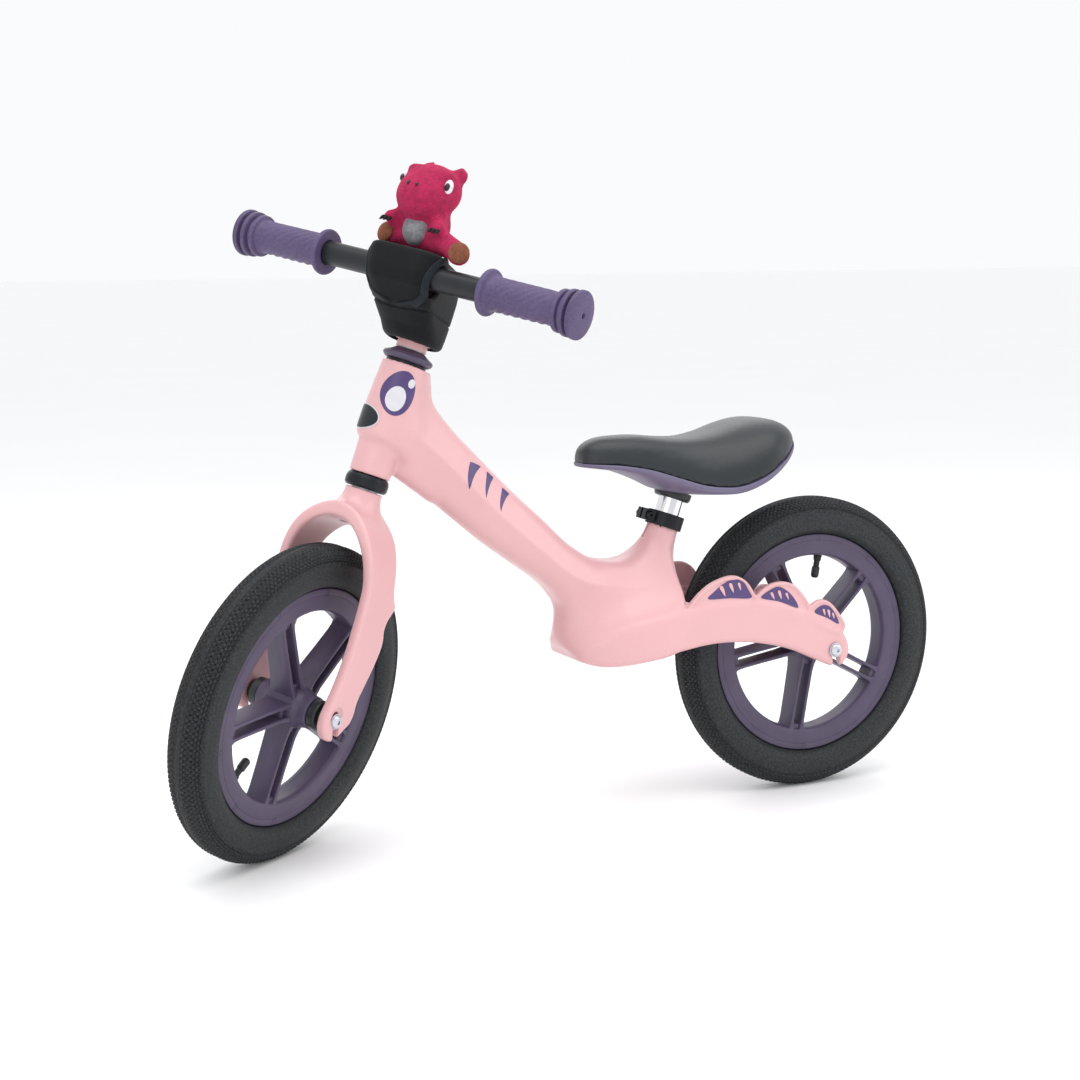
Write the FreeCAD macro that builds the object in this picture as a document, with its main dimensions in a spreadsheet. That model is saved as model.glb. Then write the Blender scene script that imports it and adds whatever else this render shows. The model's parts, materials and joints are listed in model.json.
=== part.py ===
import FreeCAD, Part
import math
import os
import re

import Sketcher

# A balance bike for a small child: cast frame and fork, two moulded wheels with
# air-filled tyres, a straight handlebar with a pad and a soft toy, and a saddle on a post.
# Frame of reference: +X forward, +Y the bike's left, +Z up, origin on the ground
# midway between the wheel centres with the steering straight.
# The bike stands with its handlebar turned to the left by steer_angle.

SIZES = [
    ("wheelbase", 566, "distance between the wheel centres"),
    ("wheel_radius", 152, "outer radius of a tyre"),
    ("tyre_half_width", 21.5, "half the width of a tyre"),
    ("tyre_wall", 3.5, "thickness of the tyre casing"),
    ("tube_circle", 130.5, "radius of the centre line of the inner tube"),
    ("tube_radius", 14, "radius of the inner tube's section"),
    ("tube_wall", 1.2, "wall of the inner tube"),
    ("flange_radius", 113.5, "outer radius of the rim flanges"),
    ("rim_half_width", 13, "half the width over the rim flanges"),
    ("rim_opening", 92, "inner radius of the rim"),
    ("bead_radius", 102, "radius of the bead seat"),
    ("flange_thick", 3, "thickness of a rim flange"),
    ("hub_radius", 15.5, "outer radius of the hub shell"),
    ("hub_half", 29, "half the length of the hub shell"),
    ("blade_thick", 3.5, "thickness of one spoke blade"),
    ("blade_offset", 6.5, "spoke centre to the middle of a blade"),
    ("blade_depth", 24, "depth of a spoke blade along the axle"),
    ("spoke_count", 5, "spokes in a wheel, each of two blades"),
    ("rear_spoke_angle", 64, "turn of the rear wheel"),
    ("front_spoke_angle", -72, "turn of the front wheel"),
    ("bearing_radius", 11, "outer radius of a wheel bearing"),
    ("bearing_width", 7, "width of a wheel bearing"),
    ("ball_circle", 7.75, "radius of the circle of wheel bearing balls"),
    ("ball_radius", 1.95, "radius of a wheel bearing ball"),
    ("axle_radius", 4, "radius of the axle ends"),
    ("axle_core", 5.4, "radius of the axle between its bearings"),
    ("valve_radius", 3, "radius of the valve stem"),
    ("bolt_radius", 2.5, "radius of the axle bolts"),
    ("fork_inner", 44, "half the gap between the fork legs"),
    ("fork_outer", 54, "half the width over the fork legs"),
    ("stay_inner", 47, "half the gap between the rear stays"),
    ("stay_outer", 58, "half the width over the rear stays"),
    ("axle_slot", 8.4, "width of an axle slot"),
    ("washer_recess", 1.5, "depth of the round recess for an axle washer"),
    ("head_angle", 69, "steering axis above the horizontal"),
    ("steer_angle", 35, "how far the handlebar is turned to the left"),
    ("steer_drop", 2.3, "how far the turned front wheel would lift"),
    ("fork_offset", 8, "front wheel centre ahead of the steering axis"),
    ("head_low", 217, "bottom of the head tube along the steering axis"),
    ("head_high", 323, "top of the head tube along the steering axis"),
    ("head_bore", 15, "radius of the bore of the head tube"),
    ("crown_top", 202, "top of the fork crown along the steering axis"),
    ("steerer_radius", 12.7, "outer radius of the steerer tube"),
    ("steerer_wall", 2, "wall of the steerer tube"),
    ("steerer_top", 383, "top of the steerer tube along the steering axis"),
    ("steerer_depth", 27, "how deep the steerer tube sits in the fork crown"),
    ("crown_radius", 17.5, "radius of the neck above the fork crown"),
    ("leg_spring", 110, "where the fork legs spring into the arch, above the axle"),
    ("arch_top", 185, "outer top of the fork arch above the axle"),
    ("arch_thick", 14, "thickness of the fork arch at its top"),
    ("lower_balls", 208, "lower headset balls along the steering axis"),
    ("upper_balls", 328.6, "upper headset balls along the steering axis"),
    ("headset_ball_count", 20, "balls in one headset bearing"),
    ("wheel_ball_count", 7, "balls in one wheel bearing"),
    ("cup_lip", 1.6, "how far a headset cup reaches inside the head tube's bore"),
    ("head_ball_circle", 14.85, "radius of the circle of headset balls"),
    ("head_ball_radius", 1.5, "radius of a headset ball"),
    ("bar_reach", 47.5, "handlebar ahead of the steering axis"),
    ("bar_level", 400, "handlebar along the steering axis"),
    ("bar_radius", 11.1, "outer radius of the handlebar"),
    ("bar_wall", 1.8, "wall of the handlebar tube"),
    ("bar_half", 184, "half the length of the handlebar tube"),
    ("grip_start", 88, "inner end of a grip"),
    ("grip_end", 187.5, "outer end of a grip"),
    ("grip_radius", 15, "radius of a grip where the hand holds it"),
    ("stem_foot", 346, "bottom of the stem's steerer clamp along the steering axis"),
    ("stem_tall", 38, "height of the stem's steerer clamp"),
    ("stem_radius", 17, "radius of the stem's steerer clamp"),
    ("pinch_back", 19, "pinch bolts behind the steering axis"),
    ("clamp_half", 18, "half the width of the bar clamp"),
    ("clamp_tall", 33, "height of the bar clamp"),
    ("clamp_crown", 13.6, "radius of the front of the bar clamp"),
    ("clamp_bolt_rise", 13.8, "faceplate bolts above and below the handlebar"),
    ("clamp_bolt_side", 12, "faceplate bolts to each side of the middle"),
    ("faceplate_thick", 8, "thickness of the faceplate"),
    ("faceplate_gap", 0.8, "gap between the faceplate and the stem"),
    ("small_bolt", 2, "radius of the stem's bolts"),
    ("small_head", 3.2, "radius of the heads of the stem's bolts"),
    ("seat_angle", 70, "seat tube above the horizontal"),
    ("seat_x", -113, "seat tube axis at the clamp"),
    ("seat_z", 285, "height of the seat tube axis at the clamp"),
    ("post_radius", 12.7, "outer radius of the seat post"),
    ("post_wall", 1.6, "wall of the seat post"),
    ("post_fit", 0.08, "running fit of the seat post in its tube"),
    ("post_low", -95, "bottom of the post below the clamp"),
    ("post_high", 40, "top of the post above the clamp"),
    ("seat_tube_radius", 15.5, "radius of the seat tube under the clamp"),
    ("collar_radius", 18.6, "outer radius of the seat clamp"),
    ("collar_height", 14, "height of the seat clamp"),
    ("collar_bolt_reach", 23, "seat clamp bolt ahead of the post's axis"),
    ("collar_bolt_rise", 6, "height of the seat clamp bolt above the clamp's foot"),
    ("collar_ear_half", 8.5, "half the width over the seat clamp's ears"),
    ("casting_wall", 5, "wall of the cast frame"),
    ("wheel_gap", 165, "radius of the room for the rear wheel between the stays"),
    ("washer_radius", 7.6, "outer radius of an axle washer"),
    ("washer_thick", 1.2, "thickness of an axle washer"),
    ("pad_skin", 2.2, "thickness of the pad's padding"),
]

UP = FreeCAD.Vector(0, 0, 1)
AHEAD = FreeCAD.Vector(1, 0, 0)
LEFT = FreeCAD.Vector(0, 1, 0)
ORIGIN = FreeCAD.Placement()

doc = FreeCAD.newDocument("balance_bike")
sheet = doc.addObject("Spreadsheet::Sheet", "Sizes")
nodes = {}


class Size:
    """The numbers of the sheet, for shapes that are made from curves."""


def fill_sheet():
    for row, (word, value, meaning) in enumerate(SIZES, start=1):
        sheet.set(f"A{row}", word)
        sheet.set(f"B{row}", str(value))
        sheet.setAlias(f"B{row}", word)
        sheet.set(f"C{row}", meaning)
    doc.recompute()
    for word, _, _ in SIZES:
        setattr(Size, word, float(sheet.get(word)))


fill_sheet()
WORDS = {word for word, _, _ in SIZES}
LEAN = 90 - Size.head_angle
AXIS_FOOT = FreeCAD.Vector(Size.wheelbase / 2 - Size.fork_offset, 0, Size.wheel_radius)
STEER_AXIS = FreeCAD.Rotation(LEFT, -LEAN).multVec(UP)
TURNED = FreeCAD.Placement(FreeCAD.Vector(), FreeCAD.Rotation(STEER_AXIS, Size.steer_angle), AXIS_FOOT)
HEAD = FreeCAD.Placement(AXIS_FOOT, FreeCAD.Rotation(LEFT, -LEAN))
STEERED = TURNED.multiply(HEAD)
REAR_AXLE = FreeCAD.Placement(
    FreeCAD.Vector(-Size.wheelbase / 2, 0, Size.wheel_radius), FreeCAD.Rotation(AHEAD, -90))
FRONT_CENTRE = FreeCAD.Vector(Size.wheelbase / 2, 0, Size.wheel_radius - Size.steer_drop)
FRONT_AXLE = TURNED.multiply(FreeCAD.Placement(FRONT_CENTRE, FreeCAD.Rotation(AHEAD, -90)))
SEAT = FreeCAD.Placement(
    FreeCAD.Vector(Size.seat_x, 0, Size.seat_z), FreeCAD.Rotation(LEFT, Size.seat_angle - 90))
AXLE_IN_HEAD = HEAD.inverse().multVec(FRONT_CENTRE)


# ---------------------------------------------------------------- helpers

def bind(formula):
    """Turn the words of a formula into references to the sheet."""
    def cell(match):
        word = match.group()
        return "Sizes." + word if word in WORDS else word
    return re.sub("[a-z_]+", cell, formula)


def keep(label, thing, place=ORIGIN):
    """Give a finished piece its name and its place on the bike."""
    thing.Label = label
    thing.Placement = place
    nodes[label] = thing
    return thing


def primitive(kind, at=ORIGIN, **formulas):
    """A Part primitive with its sizes bound to the sheet."""
    thing = doc.addObject("Part::" + kind, kind.lower())
    thing.Placement = at
    for name, formula in formulas.items():
        thing.setExpression(name.replace("__", "."), bind(formula))
    return thing


def cut(base, tools):
    thing = doc.addObject("Part::Cut", "cut")
    thing.Base = base
    thing.Tool = tools[0] if len(tools) == 1 else fuse(tools)
    return thing


def fuse(pieces):
    thing = doc.addObject("Part::MultiFuse", "fuse")
    thing.Shapes = pieces
    return thing


def group(pieces):
    thing = doc.addObject("Part::Compound", "group")
    thing.Links = pieces
    return thing


def shaped(shape):
    """A piece whose shape is made with Part's own functions."""
    thing = doc.addObject("Part::Feature", "shaped")
    thing.Shape = shape
    return thing


def mirrored(thing):
    """The same piece on the other side of the bike's middle plane, along its own axis."""
    copy = doc.addObject("Part::Mirroring", "mirrored")
    copy.Source = thing
    copy.Normal = UP
    return copy


def turned(profile):
    """A PartDesign body turned about +Z from (radius, height) formulas."""
    body = doc.addObject("PartDesign::Body", "turned")
    sketch = body.newObject("Sketcher::SketchObject", "profile")
    planes = [part for part in body.Origin.OriginFeatures if part.Role == "XZ_Plane"]
    sketch.AttachmentSupport = (planes[0], [""])
    sketch.MapMode = "FlatFace"
    values = [(doc_value(across), doc_value(along)) for across, along in profile]
    corners = [FreeCAD.Vector(across, along, 0) for across, along in values]
    count = len(corners)
    for index in range(count):
        sketch.addGeometry(Part.LineSegment(corners[index], corners[(index + 1) % count]), False)
    for index in range(count):
        sketch.addConstraint(Sketcher.Constraint("Coincident", index, 2, (index + 1) % count, 1))
    for index, (formulas, value) in enumerate(zip(profile, values)):
        for kind, formula, size in zip(("DistanceX", "DistanceY"), formulas, value):
            if abs(size) < 1e-9:
                line = -2 if kind == "DistanceX" else -1
                sketch.addConstraint(Sketcher.Constraint("PointOnObject", index, 1, line))
            else:
                place = sketch.addConstraint(Sketcher.Constraint(kind, -1, 1, index, 1, size))
                sketch.setExpression(f"Constraints[{place}]", bind(formula))
    revolution = body.newObject("PartDesign::Revolution", "revolution")
    revolution.Profile = sketch
    revolution.ReferenceAxis = (sketch, ["V_Axis"])
    revolution.Angle = 360
    body.Tip = revolution
    return body


def doc_value(formula):
    """What the sheet makes of a formula."""
    sheet.set("E1", "=" + bind(formula).replace("Sizes.", ""))
    sheet.recompute()
    return float(sheet.get("E1"))


def at(x=0.0, y=0.0, z=0.0, turn=None):
    return FreeCAD.Placement(FreeCAD.Vector(x, y, z), turn or FreeCAD.Rotation())


def curve(*points):
    """A smooth edge through (x, z) points in the middle plane."""
    spline = Part.BSplineCurve()
    spline.interpolate([FreeCAD.Vector(x, 0, z) for x, z in points])
    return spline.toShape()


def lines(*points):
    """Straight edges through (x, z) points in the middle plane."""
    corners = [FreeCAD.Vector(x, 0, z) for x, z in points]
    return [Part.LineSegment(a, b).toShape() for a, b in zip(corners, corners[1:])]


def slab(edges, half):
    """A plate across the middle plane with the given side outline."""
    face = Part.Face(Part.Wire(Part.__sortEdges__(edges)))
    face.translate(FreeCAD.Vector(0, -half, 0))
    return face.extrude(FreeCAD.Vector(0, 2 * half, 0))


def rod(radius, start, end):
    return Part.makeCylinder(radius, (end - start).Length, start, end - start)


def superellipse(centre, along, half_height, half_width, power=2.6):
    """A closed rounded section at centre (x, z), square to the direction along (x, z)."""
    length = math.hypot(*along)
    up = FreeCAD.Vector(-along[1] / length, 0, along[0] / length)
    points = []
    for step in range(16):
        angle = 2 * math.pi * step / 16
        across = math.copysign(abs(math.cos(angle)) ** (2 / power), math.cos(angle))
        rise = math.copysign(abs(math.sin(angle)) ** (2 / power), math.sin(angle))
        middle = FreeCAD.Vector(centre[0], 0, centre[1])
        points.append(middle + up * (rise * half_height) + LEFT * (across * half_width))
    spline = Part.BSplineCurve()
    spline.interpolate(points, PeriodicFlag=True)
    return Part.Wire(spline.toShape())


# ---------------------------------------------------------------- frame

def beam(thinner=0.0):
    """The main beam from the head tube down to the belly."""
    stations = [
        ((172, 399), 33, 19), ((146, 378), 35, 21), ((115, 349), 31, 23), ((77, 314), 28.5, 26),
        ((40, 281), 27, 31), ((6, 251), 31, 39), ((-30, 222), 38, 46)]
    if thinner:
        stations = stations[1:-1]
    wires = [superellipse(centre, (-0.75, -0.66), tall - thinner, wide - thinner)
             for centre, tall, wide in stations]
    return Part.makeLoft(wires, True)


def seat_line(along):
    """A point of the seat tube's axis, measured up from the clamp."""
    return SEAT.multVec(FreeCAD.Vector(0, 0, along))


def stays_outline():
    """Side outline of the belly and of the two rear stays with their three humps."""
    return [
        curve((6, 216), (10, 204), (8, 184), (-4, 168), (-28, 160), (-62, 162), (-96, 167),
              (-140, 172), (-182, 169), (-224, 160), (-252, 148), (-277, 137)),
        curve((-277, 137), (-290, 134), (-300, 139), (-304, 152), (-299, 171), (-289, 189), (-277, 201)),
        curve((-277, 201), (-265, 206), (-252, 205)),
        curve((-252, 205), (-246, 213), (-233, 224), (-218, 228), (-202, 226), (-188, 223)),
        curve((-188, 223), (-176, 234), (-161, 239), (-147, 237), (-130, 231), (-113, 224)),
        curve((-113, 224), (-90, 222), (-60, 219), (-20, 216), (6, 216)),
    ]


def plan_outline(inset=0.0):
    """Plan of the belly: narrow in front, full width from the wheel gap back."""
    half_width = Size.stay_outer - inset
    front = [(14 - 1.5 * inset, 0), (10 - 1.5 * inset, 20 - inset), (-inset, 35 - inset),
             (-22 - inset, 47 - inset), (-55, 55 - inset), (-90, half_width)]
    left = [FreeCAD.Vector(x, y, 0) for x, y in front[::-1]]
    right = [FreeCAD.Vector(x, -y, 0) for x, y in front[1:]]
    spline = Part.BSplineCurve()
    spline.interpolate(left + right)
    back = -Size.wheelbase / 2 - 40
    corners = [right[-1], FreeCAD.Vector(back, -half_width, 0), FreeCAD.Vector(back, half_width, 0), left[0]]
    edges = [spline.toShape()]
    edges += [Part.LineSegment(a, b).toShape() for a, b in zip(corners, corners[1:])]
    face = Part.Face(Part.Wire(Part.__sortEdges__(edges)))
    face.translate(FreeCAD.Vector(0, 0, 100))
    return face.extrude(FreeCAD.Vector(0, 0, 200))


def frame_cavity():
    """The hollow core of the casting, kept clear of the seat tube and of the rear tyre."""
    wall = Size.casting_wall
    belly = slab([curve((0, 215), (3, 196), (-8, 178), (-35, 168), (-70, 171), (-104, 177)),
                  *lines((-104, 177), (-98, 214), (0, 215))], Size.stay_outer)
    belly = belly.common(plan_outline(wall))
    belly = belly.common(slab(lines((14, 150), (-110, 150), (-110, 230), (14, 230), (14, 150)),
                              Size.stay_outer - 2 * wall))
    tube = rod(Size.post_radius + wall, seat_line(-110), seat_line(20))
    return beam(wall).fuse(belly).cut(tube)


def cast_frame():
    rear = REAR_AXLE.Base
    belly = slab(stays_outline(), Size.stay_outer).common(plan_outline())
    saddle_root = slab([
        curve((30, 290), (0, 272), (-24, 259), (-43, 254), (-60, 252), (-75, 256), (-86, 267), (-95, 288)),
        *lines((-95, 288), (-112, 284), (-98, 226), (30, 226), (30, 290))], 15)
    seat_tube = Part.makeCone(17.5, Size.seat_tube_radius, 72, seat_line(-72), SEAT.Rotation.multVec(UP))
    seat_top = rod(Size.seat_tube_radius, seat_line(0), seat_line(Size.collar_height - 2))
    head_profile = [(17.5, Size.head_low), (18.6, 240), (21.5, 270), (21.8, 292), (19.5, Size.head_high)]
    head_curve = Part.BSplineCurve()
    head_curve.interpolate([FreeCAD.Vector(radius, 0, level) for radius, level in head_profile])
    edges = [head_curve.toShape(), *lines((19.5, Size.head_high), (0, Size.head_high),
                                          (0, Size.head_low), (17.5, Size.head_low))]
    head_tube = Part.Face(Part.Wire(Part.__sortEdges__(edges))).revolve(FreeCAD.Vector(), UP, 360)
    head_tube.Placement = HEAD
    solid = beam().multiFuse([belly, saddle_root, seat_tube, seat_top, head_tube])
    wheel_gap = rod(Size.wheel_gap, rear - LEFT * Size.stay_inner, rear + LEFT * Size.stay_inner)
    head_bore = Part.makeCylinder(Size.head_bore, Size.head_high - Size.head_low,
                                  FreeCAD.Vector(0, 0, Size.head_low))
    head_bore.Placement = HEAD
    post_bore = rod(Size.post_radius + Size.post_fit, seat_line(-100), seat_line(20))
    clamp_slit = Part.makeBox(30, 2, 34, FreeCAD.Vector(0, -1, -20))
    clamp_slit.Placement = SEAT
    tools = [wheel_gap, head_bore, post_bore, clamp_slit, frame_cavity()]
    for side in (1, -1):
        tools += axle_seat(rear, side, Size.stay_inner, Size.stay_outer, FreeCAD.Vector(-0.2, 0, -0.98))
    return solid.cut(tools).removeSplitter()


def axle_seat(centre, side, inner, outer, way_out):
    """Slot for an axle, open towards way_out, and the recess for its washer."""
    start = centre + LEFT * side * (inner - 5)
    end = centre + LEFT * side * (outer + 5)
    slot = rod(Size.axle_slot / 2, start, end)
    face = Part.Face(Part.makePolygon([
        start + way_out.cross(LEFT) * Size.axle_slot / 2,
        start - way_out.cross(LEFT) * Size.axle_slot / 2,
        start - way_out.cross(LEFT) * Size.axle_slot / 2 + way_out * 40,
        start + way_out.cross(LEFT) * Size.axle_slot / 2 + way_out * 40,
        start + way_out.cross(LEFT) * Size.axle_slot / 2]))
    mouth = face.extrude(end - start)
    recess = rod(Size.washer_radius + 0.6, centre + LEFT * side * (outer - Size.washer_recess), end)
    return [slot, mouth, recess]


def head_badge():
    """An oval name plate, left blank, on the front of the head tube."""
    shell = Part.makeCylinder(24.6, 36, FreeCAD.Vector(0, 0, 260))
    shell = shell.cut(Part.makeCylinder(22.3, 36, FreeCAD.Vector(0, 0, 260)))
    oval = Part.Ellipse(FreeCAD.Vector(), 16, 12.5).toShape()
    oval = Part.Face(Part.Wire(oval)).extrude(UP * 40)
    oval.Placement = at(0, 0, 278, FreeCAD.Rotation(LEFT, 90))
    return shell.common(oval)


def make_frame():
    keep("frame", shaped(cast_frame()))
    keep("head_badge", shaped(head_badge()), HEAD)


# ---------------------------------------------------------------- headset

def ring_of_balls(circle, radius, count):
    balls = []
    for index in range(count):
        angle = 2 * math.pi * index / count
        ball = primitive("Sphere", Radius=radius)
        ball.setExpression("Placement.Base.x", bind(f"{circle} * {math.cos(angle):.6f}"))
        ball.setExpression("Placement.Base.y", bind(f"{circle} * {math.sin(angle):.6f}"))
        balls.append(ball)
    return group(balls)


def race(inner, outer, half, circle, ball):
    """A bearing ring with the groove that its balls run in."""
    ring = turned([(inner, f"-({half})"), (outer, f"-({half})"), (outer, half), (inner, half)])
    groove = primitive("Torus", Radius1=circle, Radius2=f"{ball} + 0.05")
    return cut(ring, [groove])


def lifted(thing, level):
    thing.Placement = at(z=level)
    return thing


def make_headset():
    levels = (Size.lower_balls, Size.upper_balls)
    keep("lower_headset_cup", turned([
        ("head_bore - cup_lip", "head_low + 8"), ("head_bore - cup_lip", "head_low - 4"),
        ("head_ball_circle + 2.15", "head_low - 4"), ("head_ball_circle + 2.15", "crown_top + 1"),
        ("head_bore + 2.4", "crown_top + 1"), ("head_bore + 3.3", "head_low - 3.5"),
        ("head_bore + 1.8", "head_low - 0.4"), ("head_bore", "head_low - 0.4"),
        ("head_bore", "head_low + 8")]), HEAD)
    keep("upper_headset_cup", turned([
        ("head_bore - cup_lip", "head_high - 8"), ("head_bore", "head_high - 8"), ("head_bore", "head_high"),
        ("head_bore + 4", "head_high"), ("head_bore + 4", "head_high + 2.6"),
        ("head_ball_circle + 2.9", "head_high + 2.6"), ("head_ball_circle + 2.9", "head_high + 8"),
        ("head_ball_circle + 2.15", "head_high + 8"), ("head_ball_circle + 2.15", "head_high + 3.1"),
        ("head_bore - cup_lip", "head_high + 3.1")]), HEAD)
    outers = [lifted(race("head_ball_circle + 0.9", "head_ball_circle + 2.1", "2.4",
                          "head_ball_circle", "head_ball_radius"), level) for level in levels]
    keep("headset_outer_races", group(outers), HEAD)
    inners = [lifted(race("steerer_radius + 0.02", "head_ball_circle - 0.8", "2.4",
                          "head_ball_circle", "head_ball_radius"), level) for level in levels]
    keep("headset_inner_races", group(inners), STEERED)
    count = int(Size.headset_ball_count)
    balls = [lifted(ring_of_balls("head_ball_circle", "head_ball_radius", count), level)
             for level in levels]
    keep("headset_balls", group(balls), STEERED)
    keep("headset_dust_cover", turned([
        ("steerer_radius + 0.05", "head_high + 8.6"), ("head_ball_circle + 3.4", "head_high + 8.6"),
        ("head_ball_circle + 3.4", "head_high + 3.4"), ("head_bore + 4.3", "head_high + 3.4"),
        ("head_bore + 6.2", "head_high + 7"), ("head_bore + 5.6", "head_high + 9"),
        ("steerer_radius + 1.1", "head_high + 15"), ("steerer_radius + 0.05", "head_high + 15")]), STEERED)


# ---------------------------------------------------------------- fork and handlebar

def fork_side():
    """Side outline of the fork: straight front edge, three scallops behind, hooked end."""
    front = curve((30, 190), (27, 150), (20, 112), (17, 74), (17, 40), (21, 16), (24.5, 0),
                  (21, -14), (9, -24), (-3, -20))
    return [
        front,
        curve((-3, -20), (-12, -12), (-19, -4), (-20, 6)),
        curve((-20, 6), (-19, 18), (-24, 36), (-29, 54), (-30, 66), (-29, 76)),
        curve((-29, 76), (-24, 84), (-26, 95), (-30, 103), (-31, 110)),
        curve((-31, 110), (-22, 119), (-20, 132), (-20, 150), (-21, 170), (-22, 190)),
        *lines((-22, 190), (30, 190)),
    ]


def arch(half, top, level, bottom):
    """Front outline of an arch: straight legs under half an ellipse, as a prism along X."""
    legs = [FreeCAD.Vector(0, -half, level), FreeCAD.Vector(0, -half, bottom),
            FreeCAD.Vector(0, half, bottom), FreeCAD.Vector(0, half, level)]
    edges = [Part.LineSegment(a, b).toShape() for a, b in zip(legs, legs[1:])]
    spline = Part.BSplineCurve()
    steps = [math.pi * step / 12 for step in range(13)]
    spline.interpolate([FreeCAD.Vector(0, half * math.cos(turn), level + (top - level) * math.sin(turn))
                        for turn in steps])
    edges.append(spline.toShape())
    face = Part.Face(Part.Wire(Part.__sortEdges__(edges)))
    face.translate(FreeCAD.Vector(-60, 0, 0))
    return face.extrude(FreeCAD.Vector(120, 0, 0))


def cast_fork():
    inside_top = Size.arch_top - Size.arch_thick
    spring = Size.leg_spring
    body = slab(fork_side(), Size.fork_outer + 5).common(arch(Size.fork_outer, Size.arch_top, spring, -40))
    neck = Part.makeCylinder(Size.crown_radius, Size.crown_top - inside_top - 1, UP * (inside_top + 1))
    skirt = Part.makeCone(Size.crown_radius + 4.5, Size.crown_radius, 12, UP * (Size.arch_top - 5))
    body = body.multiFuse([neck, skirt]).cut(arch(Size.fork_inner, inside_top, spring, -60))
    tools = [Part.makeCylinder(Size.steerer_radius, 60, UP * (Size.crown_top - Size.steerer_depth - 1))]
    for side in (1, -1):
        tools += axle_seat(AXLE_IN_HEAD, side, Size.fork_inner, Size.fork_outer,
                           FreeCAD.Vector(-0.42, 0, -0.907))
    return body.cut(tools).removeSplitter()


def stem_body():
    """Clamp round the steerer, arm, and the rear half of the handlebar clamp."""
    foot, top = Size.stem_foot, Size.stem_foot + Size.stem_tall
    sleeve = Part.makeCylinder(Size.steerer_radius + 1.8, 9, UP * (foot - 7.5))
    clamp = Part.makeCylinder(Size.stem_radius, Size.stem_tall, UP * foot)
    ears = Part.makeBox(14, 20, Size.stem_tall - 4, FreeCAD.Vector(-Size.pinch_back - 4.5, -10, foot + 2))
    arm = slab(lines((0, 348), (0, 382), (34, 412), (44, 408), (44, 388), (17, 350), (0, 348)), 14)
    reach, level = Size.bar_reach, Size.bar_level
    half = Size.clamp_half
    block = Part.makeBox(14, 2 * half, Size.clamp_tall,
                         FreeCAD.Vector(reach - 15, -half, level - Size.clamp_tall / 2))
    solid = sleeve.multiFuse([clamp, ears, arm, block]).removeSplitter()
    bar = rod(Size.bar_radius, FreeCAD.Vector(reach, -60, level), FreeCAD.Vector(reach, 60, level))
    bore = Part.makeCylinder(Size.steerer_radius + 0.02, 60, FreeCAD.Vector(0, 0, 330))
    split = Part.makeBox(30, 2, 60, FreeCAD.Vector(-36, -1, foot - 1))
    above = Part.makeCylinder(15, 30, UP * top)
    tools = [bar, bore, split, above]
    hole = Size.small_bolt + 0.1
    tools += [rod(hole, spot, spot + AHEAD * 20) for spot in faceplate_bolt_spots(reach - 8)]
    tools += [rod(hole, spot - LEFT * 20, spot + LEFT * 20) for spot in pinch_bolt_spots()]
    return solid.cut(tools)


def faceplate_bolt_spots(forward):
    return [FreeCAD.Vector(forward, side * Size.clamp_bolt_side, Size.bar_level + rise * Size.clamp_bolt_rise)
            for side in (1, -1) for rise in (1, -1)]


def pinch_bolt_spots():
    middle = Size.stem_foot + Size.stem_tall / 2
    return [FreeCAD.Vector(-Size.pinch_back, 0, middle + rise) for rise in (-9, 9)]


def stem_faceplate():
    reach, level, half = Size.bar_reach, Size.bar_level, Size.clamp_half
    low = FreeCAD.Vector(reach + Size.faceplate_gap, -half, level - Size.clamp_tall / 2)
    plate = Part.makeBox(Size.faceplate_thick, 2 * half, Size.clamp_tall, low)
    crown = rod(Size.clamp_crown, FreeCAD.Vector(reach, -half, level), FreeCAD.Vector(reach, half, level))
    ahead = Part.makeBox(30, 2 * half, Size.clamp_tall, low)
    bar = rod(Size.bar_radius, FreeCAD.Vector(reach, -60, level), FreeCAD.Vector(reach, 60, level))
    holes = [rod(Size.small_bolt + 0.1, spot, spot + AHEAD * 30) for spot in faceplate_bolt_spots(reach)]
    return plate.fuse(crown.common(ahead)).cut([bar, *holes])


def socket_bolt(head_radius, head_height, length, radius, key):
    """A bolt with a hexagon socket, its head above z = 0 and its shank below."""
    body = turned([("0", f"-{length}"), (radius, f"-{length}"), (radius, "0"), (head_radius, "0"),
                   (head_radius, f"0.6 * {head_height}"), (f"0.75 * {head_radius}", head_height),
                   ("0", head_height)])
    socket = primitive("Prism", Circumradius=key, Height=f"2 * {head_height}",
                       Placement__Base__z=f"0.4 * {head_height}")
    socket.Polygon = 6
    return cut(body, [socket])


def placed_bolts(spots, turn, sizes):
    bolts = []
    for spot in spots:
        bolt = socket_bolt(*sizes)
        bolt.Placement = FreeCAD.Placement(spot, turn)
        bolts.append(bolt)
    return group(bolts)


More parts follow.
